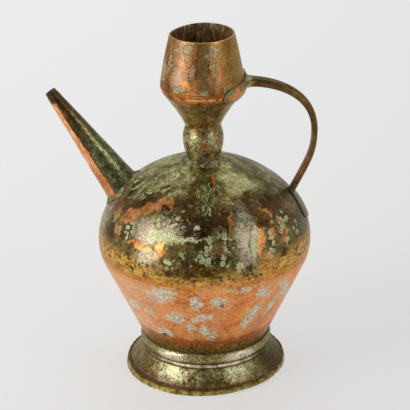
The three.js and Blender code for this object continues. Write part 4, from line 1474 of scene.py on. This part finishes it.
@dataclass
class Neck:
    """Bulb between the shoulder and the cup, and the solder that it stands in."""

    bench: Bench
    line: BodyLine
    cup: CupLine
    radius: float = 15.3
    spread: float = 1.4
    turn: float = 2.0
    bulb_radius: float = 19.5
    widest: float = 22.5
    sheet: float = 1.5
    segments: int = 144
    solder_segments: int = 160
    hammer: Hammering = field(default_factory=lambda: Hammering(0.3, 14.0, 0.2, 5.0, 4.0))
    solder: tuple[Point, ...] = ((-1.0, 3.2), (0.9, 2.6), (2.2, 1.3), (4.2, 0.1), (6.2, -1.4), (-1.0, -1.2))

    def foot(self) -> float:
        """Give the height of the neck's lower edge."""
        return self.line.dome_height(self.radius - self.sheet + self.spread) + 0.1

    def outline(self) -> list[Point]:
        """Walk up the bulb.

        Returns:
            The points, as radius and height.
        """
        foot, waist = self.foot(), self.cup.waist_radius
        line = [(self.radius + self.spread, foot), (self.radius + 0.5, foot + 0.8)]
        for share in shares(16):
            radius = self.radius + (self.bulb_radius - self.radius) * math.sin(math.pi / 2 * share)
            line.append((radius, foot + self.turn + (self.widest - self.turn) * share))
        for share in shares(12, 1):
            radius = waist + (self.bulb_radius - waist) * math.cos(math.pi / 2 * share)
            line.append((radius, foot + self.widest + (self.cup.waist_height - foot - self.widest) * share))
        return line

    def build_bulb(self) -> Thing:
        """Build the bulb."""
        section = hollow(self.outline(), self.sheet)
        return self.bench.turned("neck_bulb_looks", section, self.segments, self.hammer.inwards)

    def crust(self, spot: Vector) -> Vector:
        """Roughen the solder.

        Args:
            spot: Spot of the true form.

        Returns:
            Spot of the made one.
        """
        reach = flat(spot)
        swell = ripple(spot, (0.9, 3.5), (0.4, 1.4)) - 0.25
        loose = 1.6 if reach.length - self.radius > 1 else 0.4
        return spot + reach.normalized() * swell * loose + UP * (swell * 0.6)

    def build_solder(self) -> Thing:
        """Build the crusty ring of solder round the neck's foot."""
        section = [(self.radius + out, self.foot() + lift) for out, lift in self.solder]
        return self.bench.turned("neck_solder_crust", section, self.solder_segments, self.crust)

    def make(self) -> None:
        """Build and dress the bulb and its solder."""
        x, crust = self.bench.axis_x, SolderCrust("neck_solder", self.bench.axis_x, 19.0, chalk=0.45)
        self.bench.dress(self.build_bulb(), NeckTin("neck_tin", x, 19.0), "neck_tinned_copper", ["neck_bulb"])
        self.bench.dress(self.build_solder(), crust, "flange_solder")


@dataclass
class Cup:
    """Funnel and collar of the mouth, which meet in a sharp edge."""

    bench: Bench
    line: CupLine
    gap: float = 0.3
    sleeve: float = 6.0
    lip: float = 5.0
    lip_in: float = 0.6
    segments: int = 200
    dip: float = 1.7
    dip_azimuth: float = 142 * DEGREE
    dip_from: float = 315.0
    dip_height: float = 23.0
    hammer: Hammering = field(default_factory=lambda: Hammering(0.4, 22.0, 0.12, 6.0, 8.0))

    def bend(self, spot: Vector) -> Vector:
        """Hammer the cup, and let the rim dip a little at the back on the left.

        Args:
            spot: Spot of the true form.

        Returns:
            Spot of the made one.
        """
        bent = self.hammer.inwards(spot)
        share = max(0.0, (spot.z - self.dip_from) / self.dip_height)
        angle = math.atan2(spot.y, spot.x)
        dip = max(0.0, math.cos(angle - self.dip_azimuth)) ** 4
        wave = 0.5 + 0.5 * noise.noise(around(3, angle, 2.0))
        bent.z -= share * (self.dip * dip + 0.15 * wave)
        return bent

    def build_funnel(self) -> Thing:
        """Build the funnel with its sleeve in the neck and its rim inside the collar.

        Returns:
            The new piece.
        """
        line, sheet = self.line, self.line.sheet
        sleeve, lip = line.waist_radius - sheet - self.gap, line.edge_radius - sheet - self.gap
        low, high = line.waist_height - self.sleeve, line.edge_height + self.lip
        curve = line.funnel()
        outside = [(sleeve, low), (sleeve, line.waist_height), *curve]
        outside += straight(curve[-1], (line.edge_radius, line.edge_height), 5)[1:]
        outside += [(lip, line.edge_height), (lip - self.lip_in, high)]
        inner = [(radius, height) for radius, height in set_in(curve, sheet)
                 if radius < lip - 2 * sheet and height > line.waist_height + sheet]
        inside = [(sleeve - sheet, low), (sleeve - sheet, line.waist_height + 1.5), *inner,
                  (lip - sheet, line.edge_height - 1.5), (lip - sheet - self.lip_in, high)]
        return self.bench.turned("mouth_funnel_looks", [*outside, *inside[::-1]], self.segments, self.bend)

    def build_collar(self) -> Thing:
        """Build the collar, rounded at the mouth.

        Returns:
            The new piece.
        """
        line, outside = self.line, self.line.collar()
        inside = [(radius - line.sheet, height) for radius, height in outside][::-1]
        rim = [(line.mouth_radius - back, line.mouth_height - drop)
               for back, drop in ((0.25, 0.12), (0.75, 0.0), (1.25, 0.12))]
        return self.bench.turned("mouth_collar_looks", [*outside, *rim, *inside], self.segments, self.bend)

    def make(self) -> None:
        """Build and dress the funnel and the collar."""
        x = self.bench.axis_x
        lining = Lining("cup_lining", x, 37.0).make()
        self.bench.dress(self.build_funnel(), FunnelPatina("funnel_patina", x, 30.0), "funnel_patina",
                         ["mouth_funnel"], lining)
        self.bench.dress(self.build_collar(), CollarCopper("collar_copper", x, 37.0), "collar_copper",
                         ["mouth_collar"], lining)


@dataclass
class Spout:
    """Rolled cone with a lapped seam, and the solder collar round its base."""

    bench: Bench
    line: BodyLine
    azimuth: float = 166 * DEGREE
    height: float = 181.0
    rise: float = 54.2 * DEGREE
    length: float = 113.45
    base_radius: float = 17.7
    tip_radius: float = 5.65
    tip_lip: float = 4.0
    tip_groove: float = 0.45
    sheet: float = 1.1
    lap: float = 0.6
    lap_angle: float = 50 * DEGREE
    seam_angle: float = -9 * DEGREE
    gap: float = 0.15
    sliver: float = 1e-4
    sides: int = 120
    stations: int = 60
    flange_sides: int = 160
    flange: tuple[Point, ...] = (
        (-0.25, 0.0), (-0.25, 2.0), (0.25, 2.1), (0.8, 1.5), (1.3, 0.75), (1.8, 0.45), (2.3, 0.85),
        (2.8, 1.15), (3.3, 1.0), (3.7, 0.5), (4.0, 0.0), (3.9, -0.2), (2.0, -0.2),
    )

    def axes(self) -> tuple[Vector, Vector, Vector, Vector]:
        """Find the spout's own axes.

        Returns:
            Root of the spout's axis, its direction, its side and its upper side.
        """
        away = around(1, self.azimuth)
        along = away * math.cos(self.rise) + UP * math.sin(self.rise)
        side = UP.cross(away)
        return away * self.line.radius(self.height) + UP * self.height, along, side, along.cross(side)

    def outward(self, turn: float) -> Vector:
        """Give the direction out of the cone at an angle from the seam."""
        _, _, side, top = self.axes()
        return side * math.cos(self.seam_angle + turn) + top * math.sin(self.seam_angle + turn)

    def spot(self, turn: float, distance: float, inset: float, climb: float) -> Vector:
        """Give a spot of the cone.

        Args:
            turn: Angle from the seam.
            distance: Distance along the axis.
            inset: How far it lies inside the outer face.
            climb: Height of the lap.

        Returns:
            The spot in millimetres about the pot's axis.
        """
        root, along, _, _ = self.axes()
        radius = self.base_radius + (self.tip_radius - self.base_radius) * (distance / self.length) - inset
        radius += climb * max(0.0, 1 - (FULL_TURN - turn) / self.lap_angle)
        lip = max(0.0, 1 - (self.length - distance) / self.tip_lip)
        radius -= self.tip_groove * math.sin(math.pi * min(1.0, lip * 1.3)) if lip > 0 else 0.0
        return root + along * distance + self.outward(turn) * radius

    def landing(self, turn: float, inset: float, climb: float, gap: float) -> float:
        """Find the distance along the axis where a line of the cone meets the dome.

        Args:
            turn: Angle from the seam.
            inset: How far the line lies inside the outer face.
            climb: Height of the lap.
            gap: Distance kept from the dome.

        Returns:
            The distance.
        """
        low, high = -35.0, 45.0
        top = self.line.belly_height + self.line.rise - 0.5
        for _ in range(24):
            middle = (low + high) / 2
            spot = self.spot(turn, middle, inset, climb)
            inside = spot.z < top and flat(spot).length < self.line.radius(spot.z) + gap
            low, high = (middle, high) if inside else (low, middle)
        return (low + high) / 2

    def build_cone(self) -> Thing:
        """Build the cone: outer face from the dome to the tip, and inner face back again.

        Returns:
            The new piece.
        """
        angles = [*turns(self.sides), FULL_TURN - self.sliver]
        starts = [self.landing(turn, 0.0, self.lap, self.gap) for turn in angles]
        inner_starts = [self.landing(turn, self.sheet, 0.0, self.gap) for turn in angles]
        rings = []
        for share in shares(self.stations):
            ring = []
            for turn, start in zip(angles, starts):
                spot = self.spot(turn, start + (self.length - start) * share, 0.0, self.lap)
                ring.append(spot + self.outward(turn) * (ripple(spot, (0.22, 13.0), (0.1, 5.0)) - 0.14))
            rings.append(ring)
        for share in shares(self.stations)[::-4]:
            rings.append([self.spot(turn, start + (self.length - start) * share, self.sheet, 0.0)
                          for turn, start in zip(angles, inner_starts)])
        return self.bench.skin("spout_looks", rings)

    def build_flange(self) -> Thing:
        """Build the solder collar: a fillet against the cone and a thin raised line round it.

        Returns:
            The new piece.
        """
        rings = []
        for out, lift in self.flange:
            ring, inset = [], -self.lap * 0.5 - out
            for turn in turns(self.flange_sides):
                spot = self.spot(turn, self.landing(turn, inset, 0.0, 0.0), inset, 0.0)
                rough = ripple(spot, (0.25, 3.0), (0.12, 1.2))
                ring.append(spot + self.line.outward(spot) * (lift * (1 + rough)))
            rings.append(ring)
        return self.bench.skin("spout_flange_looks", rings, sharp=60)

    def make(self) -> None:
        """Build and dress the cone and its solder collar."""
        x, (root, along, _, _) = self.bench.axis_x, self.axes()
        patina = SpoutPatina("spout_patina", x, root=tuple(root), along=tuple(along))
        self.bench.dress(self.build_cone(), patina, "spout_patina", ["spout"])
        self.bench.dress(self.build_flange(), SolderCrust("flange_solder", x), "flange_solder", ["spout_flange"])


@dataclass
class Handle:
    """One forging: bowed bar, fan plate round the cup's edge, tongue on its wall and leaf plate on the shoulder."""

    bench: Bench
    line: BodyLine
    cup: CupLine
    top: float = 2.6
    landing: float = 177.0
    reach: float = 104.95
    bend_height: float = 237.6
    run: float = 30.8
    crest: float = 36.9
    fall: float = 23.2
    toe_out: float = 14.5
    toe_up: float = 28.5
    width: float = 12.6
    thickness: float = 5.6
    root: float = 9.6
    sink: float = 3.0
    fade: float = 0.62
    spread: float = 9.0
    spread_run: float = 0.09
    outside_round: float = 0.8
    inside_flat: float = 0.35
    gap: float = 0.15
    fan_turn: float = 65.4
    fan_thickness: float = 2.0
    fan_corner: tuple[float, float] = (46.0, 19.5)
    fan_middle: float = 4.2
    fan_drop: float = 6.6
    fan_rise: float = 11.2
    leaf_half: float = 22.0
    leaf_thickness: float = 1.3
    leaf_heights: tuple[float, float, float] = (-25.0, -16.0, 1.5)
    voxel: float = 0.5

    def path(self, samples: int = 400, steps: int = 120) -> list[tuple[Vector, Vector]]:
        """Walk along the bar's centre line in even steps.

        Args:
            samples: Points taken on each of its two curves.
            steps: Number of even steps.

        Returns:
            Places and directions.
        """
        start, land = self.cup.edge_height + self.top, self.line.radius(self.landing)
        curves = [
            [(self.cup.edge_radius - self.sink, start), (self.cup.edge_radius + self.run, start),
             (self.reach, self.bend_height + self.crest), (self.reach, self.bend_height)],
            [(self.reach, self.bend_height), (self.reach, self.bend_height - self.fall),
             (land + self.toe_out, self.landing + self.toe_up), (land - self.sink / 2, self.landing - self.sink)],
        ]
        dense = []
        for curve in curves:
            for t in shares(samples)[:-1]:
                weights = ((1 - t) ** 3, 3 * t * (1 - t) ** 2, 3 * t * t * (1 - t), t**3)
                x, z = (sum(weight * point[way] for weight, point in zip(weights, curve)) for way in (0, 1))
                dense.append(Vector((x, 0, z)))
        lengths = [0.0]
        for before, after in zip(dense, dense[1:]):
            lengths.append(lengths[-1] + (after - before).length)
        even, at = [], 0
        for step in range(steps + 1):
            wanted = lengths[-1] * step / steps
            while at + 2 < len(dense) and lengths[at + 1] < wanted:
                at += 1
            share = (wanted - lengths[at]) / (lengths[at + 1] - lengths[at])
            even.append((dense[at].lerp(dense[at + 1], share), (dense[at + 1] - dense[at]).normalized()))
        return even

    def build_bar(self) -> Thing:
        """Build the bar: round outside, nearly flat inside, thickest at the cup.

        Returns:
            The new part.
        """
        across = Vector((0, 1, 0))
        rings = []
        path = self.path()
        for share, (centre, along) in zip(shares(len(path) - 1), path):
            inward = across.cross(along)
            half = (self.thickness + (self.root - self.thickness) * max(0.0, 1 - share / self.fade)) / 2
            wide = self.width / 2 + self.spread * max(0.0, 1 - share / self.spread_run) ** 2
            wide += ripple(centre, (0.25, 11.0))
            ring = []
            for angle in turns(32):
                cosine = math.cos(angle)
                power = self.inside_flat if cosine > 0 else self.outside_round
                depth = math.copysign(abs(cosine) ** power, cosine)
                ring.append(centre + inward * (half * depth) + across * (wide * math.sin(angle)))
            rings.append(ring)
        return self.bench.skin("bar", rings, closed=False)

    def fan_edges(self, angle: float) -> Point:
        """Measure the fan plate.

        Args:
            angle: Angle from the handle, in degrees.

        Returns:
            Its lower and upper edge there.
        """
        straight_to, corner = self.fan_corner
        curve = math.sqrt(max(0.0, 1 - max(0.0, (abs(angle) - straight_to) / corner) ** 2.4))
        middle = self.cup.edge_height - self.fan_middle
        return (middle - self.fan_drop * curve, middle + self.fan_rise * curve)

    def build_fan(self) -> Thing:
        """Build the fan plate: it follows the cup's wall across the sharp edge.

        Returns:
            The new part.
        """
        rings = []
        for step in range(121):
            angle = -self.fan_turn + 2 * self.fan_turn * step / 120
            low, high = self.fan_edges(angle)
            out = around(1, angle * DEGREE)
            inner, outer = [], []
            for row in range(25):
                height = low + (high - low) * row / 24
                radius = self.cup.radius(height)
                edge = min(1.0, 6 * (0.5 - abs(row / 24 - 0.5)) + 0.35)
                inner.append(out * (radius + self.gap) + UP * height)
                outer.append(out * (radius + self.gap + self.fan_thickness * edge) + UP * height)
            rings.append(inner + outer[::-1])
        return self.bench.skin("fan", rings, closed=False)

    def leaf_width(self, height: float) -> float:
        """Measure the leaf plate.

        Args:
            height: Height above the ground.

        Returns:
            Half its width there.
        """
        tip, widest, top = (self.landing + rise for rise in self.leaf_heights)
        if height < widest:
            return self.leaf_half * math.sqrt(max(0.0, 1 - ((widest - height) / (widest - tip)) ** 2))
        share = (height - widest) / (top - widest)
        return self.leaf_half + (self.width / 2 - self.leaf_half) * share**1.35

    def build_leaf(self) -> Thing:
        """Build the leaf plate on the shoulder.

        Returns:
            The new part.
        """
        rings = []
        for row in range(61):
            height = self.landing - 24.9 + 26.3 * row / 60
            radius, wide = self.line.radius(height), max(0.4, self.leaf_width(height))
            inner, outer = [], []
            for step in range(49):
                spot = around(radius, math.asin((-wide + 2 * wide * step / 48) / radius), height)
                out = self.line.outward(spot)
                edge = min(1.0, 8 * (0.5 - abs(step / 48 - 0.5)) + 0.3)
                inner.append(spot + out * self.gap)
                outer.append(spot + out * (self.gap + self.leaf_thickness * edge))
            rings.append(inner + outer[::-1])
        return self.bench.skin("leaf", rings, closed=False)

    def build_tongue(self) -> Thing:
        """Build the tongue in the corner between the bar and the cup's wall.

        Returns:
            The new part.
        """
        foot = self.cup.edge_height + self.top
        rings = []
        for share in shares(24):
            height = foot - 2 + 14.5 * share
            wall = self.cup.radius(height)
            out = wall + 0.4 + 11.0 * (1 - share) ** 2.2
            wide = 0.6 + 4.4 * (1 - share) ** 0.8
            middle, deep = (wall + out) / 2, (out - wall + 1.5) / 2
            rings.append([Vector((middle + deep * math.cos(angle), wide * math.sin(angle), height))
                          for angle in turns(16)])
        return self.bench.skin("tongue", rings, closed=False)

    def weld(self, parts: Sequence[Thing]) -> Thing:
        """Join parts into one piece and round its corners.

        Args:
            parts: Parts of the forging, which are used up.

        Returns:
            The new piece.
        """
        joined = bmesh.new()
        for part in parts:
            joined.from_mesh(part.data)
            bpy.data.objects.remove(part)
        mesh = bpy.data.meshes.new("handle_looks")
        joined.to_mesh(mesh)
        joined.free()
        piece = stand("handle_looks", mesh)
        remesh = piece.modifiers.new("weld", "REMESH")
        remesh.mode, remesh.voxel_size = "VOXEL", self.voxel * MM
        smooth = piece.modifiers.new("round", "CORRECTIVE_SMOOTH")
        smooth.use_only_smooth, smooth.iterations, smooth.factor = True, 5, 0.5
        evaluated = piece.evaluated_get(bpy.context.evaluated_depsgraph_get())
        shaped = bpy.data.meshes.new_from_object(evaluated)
        piece.modifiers.clear()
        piece.data = shaped
        return piece

    def build(self, neck_from: float = 240.0, clear: float = 0.1) -> Thing:
        """Weld the forging and trim it clear of the cup and the shoulder.

        Args:
            neck_from: Height from which the cup is the wall that it has to clear.
            clear: Distance kept from the wall.

        Returns:
            The new piece.
        """
        piece = self.weld([self.build_bar(), self.build_fan(), self.build_leaf(), self.build_tongue()])
        for vertex in piece.data.vertices:
            spot = vertex.co / MM - self.bench.axis()
            reach = flat(spot)
            wall = (self.cup if spot.z > neck_from else self.line).radius(spot.z) + clear
            if reach.length < wall:
                vertex.co = self.bench.place(spot + reach.normalized() * (wall - reach.length))
        shade_smooth(piece.data)
        return piece

    def make(self) -> None:
        """Build and dress the handle."""
        finish = HandlePatina("handle_patina", self.bench.axis_x, 37.0)
        self.bench.dress(self.build(), finish, "handle_patina", ["handle"])


# ---------------------------------------------------------------- studio


@dataclass(frozen=True)
class Softbox:
    """A soft lamp: direction from the camera's, height, distance, size and light."""

    name: str
    azimuth: float
    elevation: float
    distance: float
    wide: float
    tall: float
    power: float


@dataclass
class Studio:
    """Pale table, soft lamps, pale room and the camera."""

    bench: Bench
    eye: tuple[float, float, float] = (-0.0972, -1.6772, 0.9028)
    yaw: float = 4.0 * DEGREE
    pitch: float = 23.69 * DEGREE
    roll: float = 0.731 * DEGREE
    lens: float = 169.39
    film: float = 36.0
    near: float = 0.1
    far: float = 50.0
    aim_height: float = 0.16
    lamps: tuple[Softbox, ...] = (
        Softbox("softbox_left", -60.0, 24.0, 1.15, 0.55, 0.95, 11.5),
        Softbox("softbox_right", 56.0, 26.0, 1.3, 0.45, 0.9, 6.0),
        Softbox("softbox_above", 170.0, 62.0, 1.4, 1.2, 0.9, 8.0),
    )
    room_dim: Point = (0.3, 0.16)
    room_pale: Point = (0.62, 0.72)
    backdrop: Colour = (0.8, 0.807, 0.807, 1)
    table_half: float = 5.0
    table_drop: float = 5e-5
    paper: Colour = (0.8, 0.8, 0.8, 1)
    paper_far: Colour = (0.99, 1.0, 1.0, 1)
    paper_near: Colour = (1.025, 0.995, 0.975, 1)
    paper_glow: float = 0.84
    paper_share: float = 0.78

    def place_camera(self) -> None:
        """Stand the camera where the photograph was taken."""
        level = Vector((math.sin(self.yaw), math.cos(self.yaw), 0))
        forward = level * math.cos(self.pitch) - UP * math.sin(self.pitch)
        right = Vector((math.cos(self.yaw), -math.sin(self.yaw), 0))
        up = right.cross(forward)
        cosine, sine = math.cos(self.roll), math.sin(self.roll)
        right, up = right * cosine - up * sine, right * sine + up * cosine
        data = bpy.data.cameras.new("camera")
        data.lens, data.sensor_width, data.clip_start, data.clip_end = self.lens, self.film, self.near, self.far
        camera = stand("camera", data)
        turned = Matrix((right, up, -forward)).transposed().to_4x4()
        camera.matrix_world = Matrix.Translation(self.eye) @ turned
        bpy.context.scene.camera = camera
        log.info("camera at %s", self.eye)

    def hang_lamps(self) -> None:
        """Hang the soft lamps round the pot."""
        heart = self.bench.axis() * MM + UP * self.aim_height
        for lamp in self.lamps:
            data = bpy.data.lights.new(lamp.name, "AREA")
            data.shape, data.size, data.size_y, data.energy = "RECTANGLE", lamp.wide, lamp.tall, lamp.power
            lift = lamp.elevation * DEGREE
            angle = -math.pi / 2 - self.yaw + lamp.azimuth * DEGREE
            away = around(math.cos(lift), angle, math.sin(lift))
            light = stand(lamp.name, data)
            light.location = heart + away * lamp.distance
            light.rotation_euler = away.to_track_quat("Z", "Y").to_euler()
            log.info("%s at %.0f W", lamp.name, lamp.power)

    def light_room(self) -> None:
        """Make the room pale behind the pot and dimmer on the camera's side."""
        recipe = Recipe(bpy.data.worlds.new("room"))
        coords = recipe.node("ShaderNodeTexCoord").outputs["Generated"]
        parts = recipe.node("ShaderNodeSeparateXYZ", {}, {0: coords})
        depth = recipe.node("ShaderNodeMapRange", {}, {0: parts.outputs[1], 1: -1.0, 2: 1.0}).outputs[0]
        stops = [(place, (level, level, level * 0.99, 1)) for place, level in (self.room_dim, self.room_pale)]
        ramp = recipe.node("ShaderNodeValToRGB", {"stops": stops}, {0: depth}).outputs[0]
        camera = recipe.node("ShaderNodeLightPath").outputs["Is Camera Ray"]
        tone = recipe.mix(camera, ramp, self.backdrop)
        background = recipe.node("ShaderNodeBackground", {}, {0: tone})
        recipe.node("ShaderNodeOutputWorld", {}, {0: background.outputs[0]})
        bpy.context.scene.world = recipe.owner

    def table_paper(self) -> bpy.types.Material:
        """Mix the table's paper, which keeps the pot's shadow and glows pale to the camera, with painted light in the
        glow.

        Returns:
            The new material.
        """
        recipe = Recipe(bpy.data.materials.new("table_paper"))
        rays = recipe.node("ShaderNodeLightPath")
        camera, gloss, through = (Sum(recipe, rays.outputs[f"Is {kind} Ray"])
                                  for kind in ("Camera", "Glossy", "Transmission"))
        seen = camera.highest(gloss).highest(through)
        white = recipe.node("ShaderNodeBsdfDiffuse", {}, {0: self.paper})
        coords = recipe.node("ShaderNodeTexCoord").outputs["Object"]
        # Painted light: to the camera the glow is brighter towards the back and the left and again near the camera,
        # and warmer near the camera.
        level = (recipe.along(coords, (-0.11, 0.15, 0)) + 0.715).highest(0.62)
        level = level + recipe.along(coords, (0, -1, 0)).rise(0.7, 1.7) * 0.2
        level = (level - self.paper_glow).lowest(0.06) * camera + self.paper_glow
        near = recipe.along(coords, (0.2, -1.2, 0)).rise(-0.9, 0.5) * camera
        tone = recipe.mix(near, self.paper_far, self.paper_near)
        glow = recipe.node("ShaderNodeEmission", {}, {0: tone, 1: level})
        share = seen * self.paper_share
        both = recipe.node("ShaderNodeMixShader", {}, {0: share, 1: white.outputs[0], 2: glow.outputs[0]})
        recipe.node("ShaderNodeOutputMaterial", {}, {0: both.outputs[0]})
        return recipe.owner

    def lay_table(self) -> None:
        """Lay the pale table."""
        half = self.table_half
        mesh = bpy.data.meshes.new("table")
        corners = [(x * half, y * half, -self.table_drop) for x, y in ((-1, -1), (1, -1), (1, 1), (-1, 1))]
        mesh.from_pydata(corners, [], [(0, 1, 2, 3)])
        mesh.materials.append(self.table_paper())
        stand("table", mesh)

    def make(self) -> None:
        """Set the studio up."""
        self.place_camera()
        self.hang_lamps()
        self.light_room()
        self.lay_table()
        bpy.context.scene.view_settings.view_transform = "Standard"


def main() -> None:
    """Build the studio and the ewer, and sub-assembly by sub-assembly."""
    logging.basicConfig(level=logging.INFO, format="%(name)s %(message)s")
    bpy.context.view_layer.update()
    low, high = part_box("mouth_collar")
    bench = Bench((low[0] + high[0]) / 2 / MM, (low[1] + high[1]) / 2 / MM)
    line, cup_line = BodyLine(), CupLine()
    Studio(bench).make()
    Foot(bench, line).make()
    Body(bench, line).make()
    Neck(bench, line, cup_line).make()
    Cup(bench, cup_line).make()
    Spout(bench, line).make()
    Handle(bench, line, cup_line).make()


if __name__ == "__main__":
    main()
